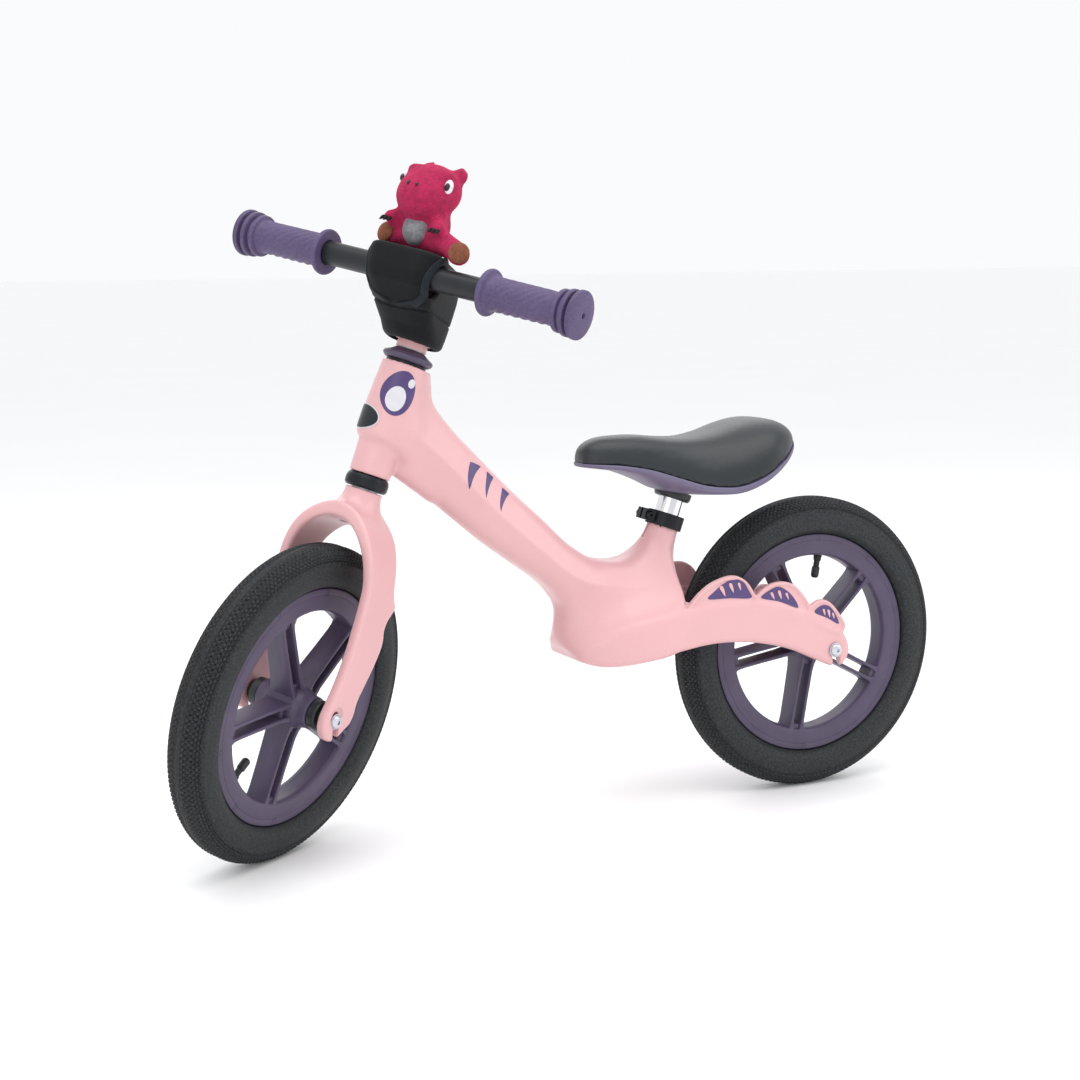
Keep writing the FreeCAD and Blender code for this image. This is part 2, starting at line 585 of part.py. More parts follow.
def make_fork_and_stem():
    keep("fork", shaped(cast_fork()), STEERED)
    keep("steerer_tube", turned([
        ("steerer_radius - steerer_wall", "crown_top - steerer_depth"),
        ("steerer_radius", "crown_top - steerer_depth"),
        ("steerer_radius", "steerer_top"), ("steerer_radius - steerer_wall", "steerer_top")]), STEERED)
    keep("stem", shaped(stem_body()), STEERED)
    keep("stem_faceplate", shaped(stem_faceplate()), STEERED)
    forward = FreeCAD.Rotation(LEFT, 90)
    spots = faceplate_bolt_spots(Size.bar_reach + Size.faceplate_gap + Size.faceplate_thick)
    bolts = placed_bolts(spots, forward, ("small_head", "3", "15", "small_bolt", "1.5"))
    keep("faceplate_bolts", bolts, STEERED)
    spots = [spot + LEFT * 10 for spot in pinch_bolt_spots()]
    sideways = FreeCAD.Rotation(AHEAD, -90)
    bolts = placed_bolts(spots, sideways, ("small_head", "3", "19", "small_bolt", "1.5"))
    keep("stem_pinch_bolts", bolts, STEERED)
    keep("stem_top_cap", turned([
        ("3.1", "steerer_top + 1.2"), ("14.5", "steerer_top + 1.2"), ("14.5", "steerer_top + 3.6"),
        ("12.5", "steerer_top + 5"), ("3.1", "steerer_top + 5")]), STEERED)
    cap_bolt = socket_bolt("5.2", "3.2", "24", "2.9", "2")
    keep("stem_cap_bolt", group([lifted(cap_bolt, Size.steerer_top + 5)]), STEERED)
    keep("star_nut", turned([
        ("2.95", "steerer_top - 18"), ("steerer_radius - steerer_wall - 0.01", "steerer_top - 15"),
        ("steerer_radius - steerer_wall - 0.01", "steerer_top - 12"), ("2.95", "steerer_top - 14")]), STEERED)


def across_bar(side):
    """Axis of the handlebar, pointing to one side."""
    where = FreeCAD.Vector(Size.bar_reach, 0, Size.bar_level)
    return STEERED.multiply(FreeCAD.Placement(where, FreeCAD.Rotation(AHEAD, -90 * side)))


def make_handlebar():
    keep("handlebar", turned([
        ("bar_radius - bar_wall", "-bar_half"), ("bar_radius", "-bar_half"),
        ("bar_radius", "bar_half"), ("bar_radius - bar_wall", "bar_half")]), across_bar(1))
    for label, side in (("left_grip", 1), ("right_grip", -1)):
        profile = [("bar_radius + 0.02", "grip_start"), ("grip_radius + 6.5", "grip_start"),
                   ("grip_radius + 6.5", "grip_start + 5"), ("grip_radius + 1.5", "grip_start + 7"),
                   ("grip_radius", "grip_start + 12"), ("grip_radius", "grip_end - 26"),
                   ("grip_radius + 1", "grip_end - 24")]
        for start, rim in ((23, 4.6), (14.5, 6.2), (6.5, 7)):
            profile += [(f"grip_radius + {rim}", f"grip_end - {start}"),
                        (f"grip_radius + {rim}", f"grip_end - {start - 4.6}")]
            if start > 7:
                profile += [("grip_radius + 1", f"grip_end - {start - 5.4}"),
                            ("grip_radius + 1", f"grip_end - {start - 7.6}")]
        profile += [("grip_radius + 5", "grip_end"), ("2", "grip_end"), ("2", "bar_half + 0.02"),
                    ("bar_radius + 0.02", "bar_half + 0.02")]
        keep(label, turned(profile), across_bar(side))


# Sections of the pad from its foot up: level on the steering axis, rear, front, half width.
PAD_SECTIONS = [(345, -27.5, 38, 24), (372, -28, 52, 28), (388, -28.5, 66, 32), (419.4, -28.5, 67, 34)]


def pad_block(inset, bottom, top):
    """The pad's outer shape, or its hollow when inset."""
    wires = []
    levels = [bottom] + [level for level, *_ in PAD_SECTIONS[1:-1]] + [top]
    for level, (_, rear, front, half) in zip(levels, PAD_SECTIONS):
        ring = [FreeCAD.Vector(x, y, level) for x, y in (
            (rear + inset, inset - half), (front - inset, inset - half),
            (front - inset, half - inset), (rear + inset, half - inset))]
        wires.append(Part.makePolygon(ring + ring[:1]))
    return Part.makeLoft(wires, True, True)


def bar_pad():
    """A soft sleeve: widest round the handlebar, narrow round the foot of the stem."""
    foot, top = PAD_SECTIONS[0][0], PAD_SECTIONS[-1][0]
    outer = pad_block(0, foot, top)
    inner = pad_block(Size.pad_skin, foot - 1, top - Size.pad_skin)
    bar = rod(Size.bar_radius + 0.4, FreeCAD.Vector(Size.bar_reach, -60, Size.bar_level),
              FreeCAD.Vector(Size.bar_reach, 60, Size.bar_level))
    return outer.cut([inner, bar])


# Ellipsoids of the soft toy: place from the handlebar's middle, then half sizes along X, Y and Z.
TOY_MIDDLE = -6
TOY_BODY = ((-15, 0, 46), (22, 20, 25.5))
TOY_HEAD = ((2, 0, 76), (25, 29, 24))
TOY_SNOUT = ((19, 0, 68), (13, 17, 12))
TOY_LUMPS = [TOY_BODY, TOY_HEAD, TOY_SNOUT]
for toy_side in (1, -1):
    arm = ((-2, toy_side * 22, 44), (17, 10, 9))
    leg = ((0, toy_side * 26, 31.5), (26, 12, 11.5))
    ear = ((-8, toy_side * 14, 97), (7, 7, 8))
    TOY_LUMPS += [arm, leg, ear]


def make_soft_pieces():
    keep("bar_pad", shaped(bar_pad()), STEERED)
    reach = Size.bar_reach
    lumps = []
    for (ahead, side, up), (deep, wide, tall) in TOY_LUMPS:
        spot = at(reach + ahead, TOY_MIDDLE + side, Size.bar_level + up)
        lump = primitive("Ellipsoid", spot, Radius1=str(tall), Radius2=str(deep), Radius3=str(wide))
        lumps.append(lump)
    bar = primitive("Cylinder", at(reach, -100, Size.bar_level, FreeCAD.Rotation(AHEAD, -90)),
                    Radius="bar_radius + 0.4", Height="200")
    keep("toy_animal", cut(fuse(lumps), [bar]), STEERED)


# ---------------------------------------------------------------- wheels

def make_rim(label, place):
    ring = turned([
        ("rim_opening", "-rim_half_width + 3"), ("rim_opening + 6", "-rim_half_width"),
        ("flange_radius", "-rim_half_width"), ("flange_radius", "-rim_half_width + flange_thick"),
        ("bead_radius", "-rim_half_width + flange_thick + 0.5"),
        ("bead_radius", "rim_half_width - flange_thick - 0.5"),
        ("flange_radius", "rim_half_width - flange_thick"), ("flange_radius", "rim_half_width"),
        ("rim_opening + 6", "rim_half_width"), ("rim_opening", "rim_half_width - 3")])
    hub = turned([
        ("axle_core + 2", "-hub_half + bearing_width"), ("bearing_radius", "-hub_half + bearing_width"),
        ("bearing_radius", "-hub_half"), ("hub_radius", "-hub_half"), ("hub_radius", "hub_half"),
        ("bearing_radius", "hub_half"), ("bearing_radius", "hub_half - bearing_width"),
        ("axle_core + 2", "hub_half - bearing_width")])
    blades = []
    for index in range(int(Size.spoke_count)):
        turn = FreeCAD.Rotation(UP, 360 * index / Size.spoke_count)
        for side in (1, -1):
            corner = FreeCAD.Vector(Size.hub_radius - 5, side * Size.blade_offset - Size.blade_thick / 2,
                                    -Size.blade_depth / 2)
            blade = primitive("Box", FreeCAD.Placement(turn.multVec(corner), turn),
                              Length="rim_opening - hub_radius + 6", Width="blade_thick",
                              Height="blade_depth")
            blades.append(blade)
    bore = primitive("Cylinder", at(z=-60), Radius="bearing_radius", Height="120")
    valve_way = FreeCAD.Rotation(UP, -180 / Size.spoke_count).multiply(FreeCAD.Rotation(LEFT, 90))
    valve_hole = primitive("Cylinder", FreeCAD.Placement(valve_way.multVec(UP * 80), valve_way),
                           Radius="valve_radius + 1.1", Height="40")
    spokes = cut(fuse(blades), [bore])
    keep(label, cut(fuse([ring, hub, spokes]), [valve_hole]), place)


def tyre_half(offset):
    """Half outline of the tyre from the bead to the crown, offset inwards by the casing."""
    crown = Size.wheel_radius - offset
    wide = Size.tyre_half_width - offset
    return [(crown, 0), (crown - 1.6, 0.38 * wide), (crown - 6.5, 0.68 * wide), (crown - 15, 0.93 * wide),
            (crown - 26, wide), (crown - 33.5 + offset, 0.93 * wide)]


def ring_shape(outline):
    """Turn a closed list of edges in the (radius, z) half plane about +Z."""
    return Part.Face(Part.Wire(Part.__sortEdges__(outline))).revolve(FreeCAD.Vector(), UP, 360)


def tyre_shape():
    bead = Size.rim_half_width - Size.flange_thick - 0.6
    outer = tyre_half(0)
    inner = tyre_half(Size.tyre_wall)
    outer_curve = curve(*[(r, -z) for r, z in outer[:0:-1]], *outer)
    inner_curve = curve(*[(r, -z) for r, z in inner[:0:-1]], *inner)
    edges = [outer_curve, inner_curve]
    for side in (1, -1):
        tip = (outer[-1][0], side * outer[-1][1])
        root = (inner[-1][0], side * inner[-1][1])
        edges += lines(tip, (Size.flange_radius + 0.5, side * (Size.rim_half_width + 0.6)),
                       (Size.flange_radius + 0.5, side * bead), (Size.bead_radius + 0.3, side * bead),
                       (Size.bead_radius + 0.3, side * (bead - 4)),
                       (Size.flange_radius + 2, side * (bead - 4)), root)
    return ring_shape(edges)


def make_wheel(name, centre, angle):
    place = centre.multiply(FreeCAD.Placement(FreeCAD.Vector(), FreeCAD.Rotation(UP, -angle)))
    make_rim(name + "_rim", place)
    keep(name + "_tyre", shaped(tyre_shape()), place)
    skin = primitive("Torus", Radius1="tube_circle", Radius2="tube_radius")
    air = primitive("Torus", Radius1="tube_circle", Radius2="tube_radius - tube_wall")
    keep(name + "_inner_tube", cut(skin, [air]), place)
    valve_way = FreeCAD.Rotation(UP, -180 / Size.spoke_count).multiply(FreeCAD.Rotation(LEFT, 90))
    valve_place = place.multiply(FreeCAD.Placement(FreeCAD.Vector(), valve_way))
    keep(name + "_valve_stem", turned([
        ("0", "75"), ("valve_radius - 0.6", "75"), ("valve_radius - 0.6", "78"),
        ("valve_radius", "79"), ("valve_radius", "113.6"), ("0", "113.6")]), valve_place)
    keep(name + "_valve_cap", turned([
        ("0", "68"), ("valve_radius + 0.2", "68"), ("valve_radius + 1", "69"),
        ("valve_radius + 1", "78.6"), ("valve_radius + 0.3", "78.6"), ("valve_radius + 0.3", "74.9"),
        ("0", "74.9")]), valve_place)
    middle = Size.hub_half - Size.bearing_width / 2
    outers = [lifted(race("ball_circle + 1.55", "bearing_radius - 0.01", "0.5 * bearing_width - 0.02",
                          "ball_circle", "ball_radius"), side * middle) for side in (1, -1)]
    keep(name + "_bearing_outer_races", group(outers), place)
    count = int(Size.wheel_ball_count)
    balls = [lifted(ring_of_balls("ball_circle", "ball_radius", count), side * middle) for side in (1, -1)]
    keep(name + "_bearing_balls", group(balls), place)


def make_axle(name, centre, inner, outer):
    """Fixed pieces along an axle; inner and outer are the formulas of the two leg faces."""
    keep(name + "_axle", turned([
        ("0", f"-{outer} + washer_recess + 17"), ("bolt_radius", f"-{outer} + washer_recess + 17"),
        ("bolt_radius", f"-{outer} + washer_recess + 1"), ("axle_radius", f"-{outer} + washer_recess + 1"),
        ("axle_radius", "-hub_half + bearing_width + 0.1"),
        ("axle_core", "-hub_half + bearing_width + 0.1"), ("axle_core", "hub_half - bearing_width - 0.1"),
        ("axle_radius", "hub_half - bearing_width - 0.1"), ("axle_radius", f"{outer} - washer_recess - 1"),
        ("bolt_radius", f"{outer} - washer_recess - 1"), ("bolt_radius", f"{outer} - washer_recess - 17"),
        ("0", f"{outer} - washer_recess - 17")]), centre)
    middle = Size.hub_half - Size.bearing_width / 2 + 0.1
    inners = [lifted(race("axle_radius", "ball_circle - 1.55", "0.5 * bearing_width + 0.08",
                          "ball_circle", "ball_radius"), side * middle) for side in (1, -1)]
    keep(name + "_bearing_inner_races", group(inners), centre)
    spacer = turned([
        ("axle_radius", "hub_half + 0.3"), ("hub_radius - 1.5", "hub_half + 0.3"),
        ("hub_radius - 1.5", "hub_half + 10"), ("hub_radius - 7", "hub_half + 10"),
        ("hub_radius - 7", inner), ("axle_radius", inner)])
    keep(name + "_hub_spacers", group([spacer, mirrored(spacer)]), centre)
    washer = turned([
        ("bolt_radius + 0.1", f"{outer} - washer_recess"), ("washer_radius", f"{outer} - washer_recess"),
        ("washer_radius", f"{outer} - washer_recess + washer_thick"),
        ("bolt_radius + 0.1", f"{outer} - washer_recess + washer_thick")])
    keep(name + "_axle_washers", group([washer, mirrored(washer)]), centre)
    bolts = []
    for side in (1, -1):
        bolt = socket_bolt("6.6", "3.4", "14", "bolt_radius - 0.02", "2.3")
        turn = FreeCAD.Rotation(AHEAD, 0 if side > 0 else 180)
        level = doc_value(f"{outer} - washer_recess + washer_thick")
        bolt.Placement = FreeCAD.Placement(UP * side * level, turn)
        bolts.append(bolt)
    keep(name + "_axle_bolts", group(bolts), centre)


# ---------------------------------------------------------------- saddle

# Saddle sections from the nose back: x, half width, top of the cover, lower edge of the base.
SADDLE_SECTIONS = [
    (-17, 13, 365, 353), (-26, 23, 372.5, 351), (-45, 30, 378, 349), (-75, 36, 377.5, 343),
    (-105, 45, 374.5, 334), (-135, 58, 373, 327), (-165, 68, 376, 327), (-195, 73, 384, 338),
    (-220, 71, 389, 352), (-242, 59, 386, 365), (-256, 38, 377, 371)]


def saddle_loft(split):
    """The saddle above (split 1) or below (split -1) the plane between cover and base."""
    wires = []
    for x, half, top, edge in SADDLE_SECTIONS:
        level = edge + (8.5 if split > 0 else 6)
        rise = top - level if split > 0 else -(level - edge + min(0.12 * half, 6))
        ends = [FreeCAD.Vector(x, -half, level), FreeCAD.Vector(x, half, level)]
        dome = Part.BSplineCurve()
        dome.interpolate([ends[0], FreeCAD.Vector(x, -0.86 * half, level + 0.62 * rise),
                          FreeCAD.Vector(x, -0.5 * half, level + 0.93 * rise),
                          FreeCAD.Vector(x, 0, level + rise),
                          FreeCAD.Vector(x, 0.5 * half, level + 0.93 * rise),
                          FreeCAD.Vector(x, 0.86 * half, level + 0.62 * rise), ends[1]])
        wires.append(Part.Wire([dome.toShape(), Part.LineSegment(ends[1], ends[0]).toShape()]))
    return Part.makeLoft(wires, True)


def seat_collar():
    """A split ring round the seat tube with two ears and a bolt across them."""
    ring = Part.makeCylinder(Size.collar_radius, Size.collar_height, FreeCAD.Vector(0, 0, -1))
    reach, rise, ear = Size.collar_bolt_reach, Size.collar_bolt_rise, Size.collar_ear_half
    ears = Part.makeBox(14, 2 * ear, 11, FreeCAD.Vector(reach - 9, -ear, rise - 5.5))
    lip = Part.makeCylinder(Size.seat_tube_radius + 0.02, Size.collar_height - 1, FreeCAD.Vector(0, 0, -1))
    bore = Part.makeCylinder(Size.post_radius + 0.5, 40, FreeCAD.Vector(0, 0, -20))
    slit = Part.makeBox(30, 3, 30, FreeCAD.Vector(0, -1.5, -10))
    hole = rod(2.6, FreeCAD.Vector(reach, -20, rise), FreeCAD.Vector(reach, 20, rise))
    return ring.fuse(ears).cut([lip, bore, slit, hole]).removeSplitter()


def make_saddle():
    keep("seat_clamp_collar", shaped(seat_collar()), SEAT)
    bolt = socket_bolt("4.2", "3.4", "17", "2.5", "1.7")
    reach, rise, ear = Size.collar_bolt_reach, Size.collar_bolt_rise, Size.collar_ear_half
    bolt.Placement = at(reach, ear, rise, FreeCAD.Rotation(AHEAD, -90))
    keep("seat_clamp_bolt", group([bolt]), SEAT)
    nut = turned([("2.55", "0"), ("4.2", "0"), ("4.2", "3.2"), ("2.55", "3.2")])
    nut.Placement = at(reach, -ear, rise, FreeCAD.Rotation(AHEAD, 90))
    keep("seat_clamp_nut", group([nut]), SEAT)
    keep("seat_post", turned([
        ("post_radius - post_wall", "post_low"), ("post_radius", "post_low"),
        ("post_radius", "post_high"), ("post_radius - post_wall", "post_high")]), SEAT)
    socket = rod(Size.post_radius + 0.02, seat_line(20), seat_line(Size.post_high))
    keep("saddle_base", shaped(saddle_loft(-1).cut(socket)))
    keep("saddle_cover", shaped(saddle_loft(1)))
    keep("saddle_post_collar", turned([
        ("post_radius + 0.02", "24"), ("post_radius + 3.5", "24"), ("post_radius + 6", "31"),
        ("post_radius + 0.02", "31")]), SEAT)


# ---------------------------------------------------------------- whole bike

def check_and_write():
    doc.recompute()
    for thing in doc.Objects:
        if "Invalid" in thing.State or "Error" in thing.State:
            raise SystemExit(f"{thing.Name} ({thing.Label}) failed: {thing.State}")
    for label, thing in nodes.items():
        if thing.Shape.isNull() or not thing.Shape.isValid():
            raise SystemExit(f"{label} has no valid shape")
    os.makedirs("parts", exist_ok=True)
    for label, thing in nodes.items():
        thing.Shape.exportStep(f"parts/{label}.step")
        box = thing.Shape.BoundBox
        print(f"{label:28} {len(thing.Shape.Solids):3} solids {thing.Shape.Volume / 1000:9.2f} cm3 "
              f"x {box.XMin:7.1f} {box.XMax:7.1f} y {box.YMin:7.1f} {box.YMax:7.1f} "
              f"z {box.ZMin:7.1f} {box.ZMax:7.1f}")
    print(len(nodes), "nodes")


make_frame()
make_headset()
make_fork_and_stem()
make_handlebar()
make_soft_pieces()
make_wheel("rear", REAR_AXLE, Size.rear_spoke_angle)
make_wheel("front", FRONT_AXLE, Size.front_spoke_angle)
make_axle("rear", REAR_AXLE, "stay_inner", "stay_outer")
make_axle("front", FRONT_AXLE, "fork_inner", "fork_outer")
make_saddle()
check_and_write()
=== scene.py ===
import json
import math

import bpy
import numpy as np
from mathutils import Matrix, Vector


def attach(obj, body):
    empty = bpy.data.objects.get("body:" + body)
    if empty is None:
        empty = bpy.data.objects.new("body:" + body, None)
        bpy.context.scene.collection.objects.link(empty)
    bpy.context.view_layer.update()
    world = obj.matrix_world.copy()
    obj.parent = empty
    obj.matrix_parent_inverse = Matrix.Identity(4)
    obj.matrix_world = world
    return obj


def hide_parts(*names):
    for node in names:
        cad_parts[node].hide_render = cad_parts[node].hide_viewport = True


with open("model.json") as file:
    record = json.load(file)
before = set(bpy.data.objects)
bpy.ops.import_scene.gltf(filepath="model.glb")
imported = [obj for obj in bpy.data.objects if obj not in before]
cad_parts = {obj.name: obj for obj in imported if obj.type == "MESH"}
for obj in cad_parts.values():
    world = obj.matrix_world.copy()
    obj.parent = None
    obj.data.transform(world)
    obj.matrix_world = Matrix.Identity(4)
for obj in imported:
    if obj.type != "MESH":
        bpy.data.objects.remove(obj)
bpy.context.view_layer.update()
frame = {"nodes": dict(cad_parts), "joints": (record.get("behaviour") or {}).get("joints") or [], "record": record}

# A balance bike with a cast pink frame and fork, moulded purple wheels, a padded bar with a
# plush toy on it, and a saddle on a chromed post. Lengths are in millimetres until a mesh is
# made, in the frame of the piece they belong to; the row frame has +X forward and +Z up.

MM = 0.001
JOINTS = {joint["name"]: joint for joint in frame["joints"]}
WHEELBASE = 566
WHEEL_RADIUS = 152
STEER_TURN = math.radians(35)


# ---------------------------------------------------------------- places

def axes_at(origin, x_axis, z_axis):
    """Matrix of a frame at origin (metres) with the given X and Z directions."""
    z = Vector(z_axis).normalized()
    y = z.cross(Vector(x_axis)).normalized()
    matrix = Matrix((y.cross(z), y, z)).transposed().to_4x4()
    matrix.translation = Vector(origin)
    return matrix


def turn(degrees, axis="Z"):
    return Matrix.Rotation(math.radians(degrees), 4, axis)


def shift(x=0.0, y=0.0, z=0.0):
    return Matrix.Translation(Vector((x, y, z)) * MM)


STEER = JOINTS["steering_turn"]
AXIS = Vector(STEER["axis"]).normalized()
FOOT = Vector(STEER["pos_m"])
HEAD = axes_at(FOOT, (1, 0, 0), AXIS)
STEERED = (Matrix.Translation(FOOT) @ Matrix.Rotation(STEER_TURN, 4, AXIS)
           @ Matrix.Translation(-FOOT) @ HEAD)
REAR_HUB = axes_at(JOINTS["rear_wheel_spin"]["pos_m"], (1, 0, 0), (0, 1, 0))
FRONT_HUB = axes_at(JOINTS["front_wheel_spin"]["pos_m"],
                    Matrix.Rotation(STEER_TURN, 4, AXIS).to_3x3() @ Vector((1, 0, 0)),
                    JOINTS["front_wheel_spin"]["axis"])
SEAT_CLAMP = axes_at((-0.113, 0, 0.285), (1, 0, 0), JOINTS["seat_height"]["axis"])
BAR_REACH, BAR_LEVEL = 47.5, 400
BAR = STEERED @ shift(BAR_REACH, 0, BAR_LEVEL)


# ---------------------------------------------------------------- meshes

class Shell:
    """Points and faces gathered from several closed shapes, for one piece."""

    def __init__(self):
        self.points = []
        self.faces = []

    def add(self, shape, matrix=None):
        points, faces = shape
        points = np.asarray(points, float)
        if matrix is not None:
            turned = np.array(matrix.to_3x3())
            points = points @ turned.T + np.array(matrix.translation) / MM
        start = sum(len(block) for block in self.points)
        self.points.append(points)
        self.faces += [[start + index for index in face] for face in faces]
        return self

    def shape(self):
        return np.concatenate(self.points), self.faces


ALL_SMOOTH = 180


def piece(name, shape, finish, body, place=Matrix(), stands_for=(), smooth=40):
    """A mesh object that rides a body of the bike; its slot is its finish."""
    points, faces = shape
    mesh = bpy.data.meshes.new(name)
    mesh.from_pydata((np.asarray(points) * MM).tolist(), [], [list(map(int, f)) for f in faces])
    mesh.validate()
    mesh.materials.append(MATERIALS[finish])
    thing = bpy.data.objects.new(name, mesh)
    bpy.context.scene.collection.objects.link(thing)
    thing.matrix_world = place
    mesh.shade_smooth()
    if smooth < ALL_SMOOTH:
        mesh.set_sharp_from_angle(angle=math.radians(smooth))
    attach(thing, body)
    if stands_for:
        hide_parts(*stands_for)
    return thing


def ring_faces(rows, columns, wrap_rows=True):
    """Quads of a grid of points; each row is a closed ring, and the last may join the first."""
    faces = []
    for row in range(rows if wrap_rows else rows - 1):
        above = (row + 1) % rows
        for column in range(columns):
            beside = (column + 1) % columns
            faces.append((row * columns + column, row * columns + beside,
                          above * columns + beside, above * columns + column))
    return faces


def lathe(profile, steps=96):
    """A closed outline of (radius, height) turned about Z, as a ring or a solid."""
    profile = np.array(profile, float)
    angles = np.linspace(0, 2 * math.pi, steps, endpoint=False)
    points = np.stack([np.outer(np.cos(angles), profile[:, 0]),
                       np.outer(np.sin(angles), profile[:, 0]),
                       np.tile(profile[:, 1], (steps, 1))], axis=-1)
    return points.reshape(-1, 3), ring_faces(steps, len(profile))


def rounded(corners, radius=1.0, steps=4):
    """A closed outline with its corners rounded; a corner may carry its own radius."""
    result = []
    count = len(corners)
    for index, corner in enumerate(corners):
        here = np.array(corner[:2], float)
        before = np.array(corners[index - 1][:2], float)
        after = np.array(corners[(index + 1) % count][:2], float)
        wish = corner[2] if len(corner) > 2 else radius
        back, ahead = before - here, after - here
        reach = min(wish, 0.49 * np.linalg.norm(back), 0.49 * np.linalg.norm(ahead))
        if reach < 0.02:
            result.append(here)
            continue
        start = here + back / np.linalg.norm(back) * reach
        end = here + ahead / np.linalg.norm(ahead) * reach
        for step in np.linspace(0, 1, steps + 1):
            result.append((1 - step) ** 2 * start + 2 * step * (1 - step) * here + step ** 2 * end)
    return np.array(result)


def loft(rings):
    """A closed skin through rings of points, with its two ends capped."""
    rings = np.array(rings, float)
    rows, columns = rings.shape[:2]
    faces = ring_faces(rows, columns, wrap_rows=False)
    faces.append(list(range(columns - 1, -1, -1)))
    faces.append([(rows - 1) * columns + column for column in range(columns)])
    return rings.reshape(-1, 3), faces


def smooth_line(points, closed=False, per_span=8):
    """A smooth curve through a few points (Catmull-Rom with even spans)."""
    points = np.array(points, float)
    if closed:
        padded = np.concatenate([points[-1:], points, points[:2]])
    else:
        padded = np.concatenate([2 * points[:1] - points[1:2], points, 2 * points[-1:] - points[-2:-1]])
    result = []
    for a, b, c, d in zip(padded, padded[1:], padded[2:], padded[3:]):
        for t in np.linspace(0, 1, per_span, endpoint=False):
            result.append(0.5 * (2 * b + (c - a) * t + (2 * a - 5 * b + 4 * c - d) * t ** 2
                                 + (3 * b - a - 3 * c + d) * t ** 3))
    if not closed:
        result.append(points[-1])
    return np.array(result)


def tube(path, radius, steps=12):
    """A round tube along a path of points, with flat ends; radius may vary along it."""
    path = np.array(path, float)
    radii = np.broadcast_to(radius, (len(path),))
    along = np.gradient(path, axis=0)
    along /= np.linalg.norm(along, axis=1)[:, None]
    side = np.cross(along[0], (0.31, 0.52, 0.79))
    rings = []
    for point, direction, size in zip(path, along, radii):
        side = side - direction * (side @ direction)
        side /= np.linalg.norm(side)
        other = np.cross(direction, side)
        angles = np.linspace(0, 2 * math.pi, steps, endpoint=False)
        rings.append(point + size * (np.outer(np.cos(angles), side) + np.outer(np.sin(angles), other)))
    return loft(rings)


# ---------------------------------------------------------------- distance fields

def smooth_max(a, b, soft):
    """The larger of two fields, with the edge between them rounded over soft."""
    near = np.maximum(soft - np.abs(a - b), 0) / soft
    return np.maximum(a, b) + near * near * soft / 4


def smooth_min(a, b, soft):
    return -smooth_max(-a, -b, soft)


def line_distance(x, z, line):
    """Distance from (x, z) to an open line of points."""
    best = np.full(np.broadcast(x, z).shape, 1e9)
    for (ax, az), (bx, bz) in zip(line[:-1], line[1:]):
        dx, dz = bx - ax, bz - az
        share = np.clip(((x - ax) * dx + (z - az) * dz) / (dx * dx + dz * dz), 0, 1)
        best = np.minimum(best, (x - ax - share * dx) ** 2 + (z - az - share * dz) ** 2)
    return np.sqrt(best)


def outline_distance(x, z, loop):
    """Signed distance to a closed outline, negative inside."""
    loop = np.asarray(loop)
    inside = np.zeros(np.broadcast(x, z).shape, bool)
    for (ax, az), (bx, bz) in zip(loop, np.roll(loop, -1, axis=0)):
        if az == bz:
            continue
        crosses = ((az > z) != (bz > z)) & (x < (bx - ax) * (z - az) / (bz - az) + ax)
        inside ^= crosses
    away = line_distance(x, z, np.concatenate([loop, loop[:1]]))
    return np.where(inside, -away, away)


def along_line(x, z, line, values):
    """Distance to an open line whose points carry values, and the value at its nearest point."""
    best = np.full(np.broadcast(x, z).shape, 1e9)
    result = np.zeros(best.shape)
    for (ax, az), (bx, bz), first, second in zip(line[:-1], line[1:], values[:-1], values[1:]):
        dx, dz = bx - ax, bz - az
        share = np.clip(((x - ax) * dx + (z - az) * dz) / (dx * dx + dz * dz), 0, 1)
        away = (x - ax - share * dx) ** 2 + (z - az - share * dz) ** 2
        nearer = away < best
        best = np.where(nearer, away, best)
        result = np.where(nearer, first + (second - first) * share, result)
    return np.sqrt(best), result


def ellipsoid(x, y, z, centre, radii):
    """A field that is negative inside an ellipsoid and near true distance close to it."""
    scaled = [(v - c) / r for v, c, r in zip((x, y, z), centre, radii)]
    reach = np.sqrt(sum(v * v for v in scaled)) + 1e-9
    steep = np.sqrt(sum((v / r) ** 2 for v, r in zip(scaled, radii))) + 1e-9
    return reach * (reach - 1) / steep


def capsule(x, y, z, start, end, radius_start, radius_end):
    """A field of a round bar between two points, its radius changing evenly."""
    start, end = np.array(start, float), np.array(end, float)
    way = end - start
    share = np.clip(((x - start[0]) * way[0] + (y - start[1]) * way[1] + (z - start[2]) * way[2])
                    / (way @ way), 0, 1)
    away = np.sqrt(sum((v - s - share * w) ** 2 for v, s, w in zip((x, y, z), start, way)))
    return away - (radius_start + (radius_end - radius_start) * share)


def halve_to_skin(is_inside, inside, outside, rounds):
    """Halves the span between a place inside a shape and one outside it, until it lies at the skin."""
    for _ in range(rounds):
        middle = (inside + outside) / 2
        hit = is_inside(middle)
        inside = np.where(hit, middle, inside)
        outside = np.where(hit, outside, middle)
    return outside


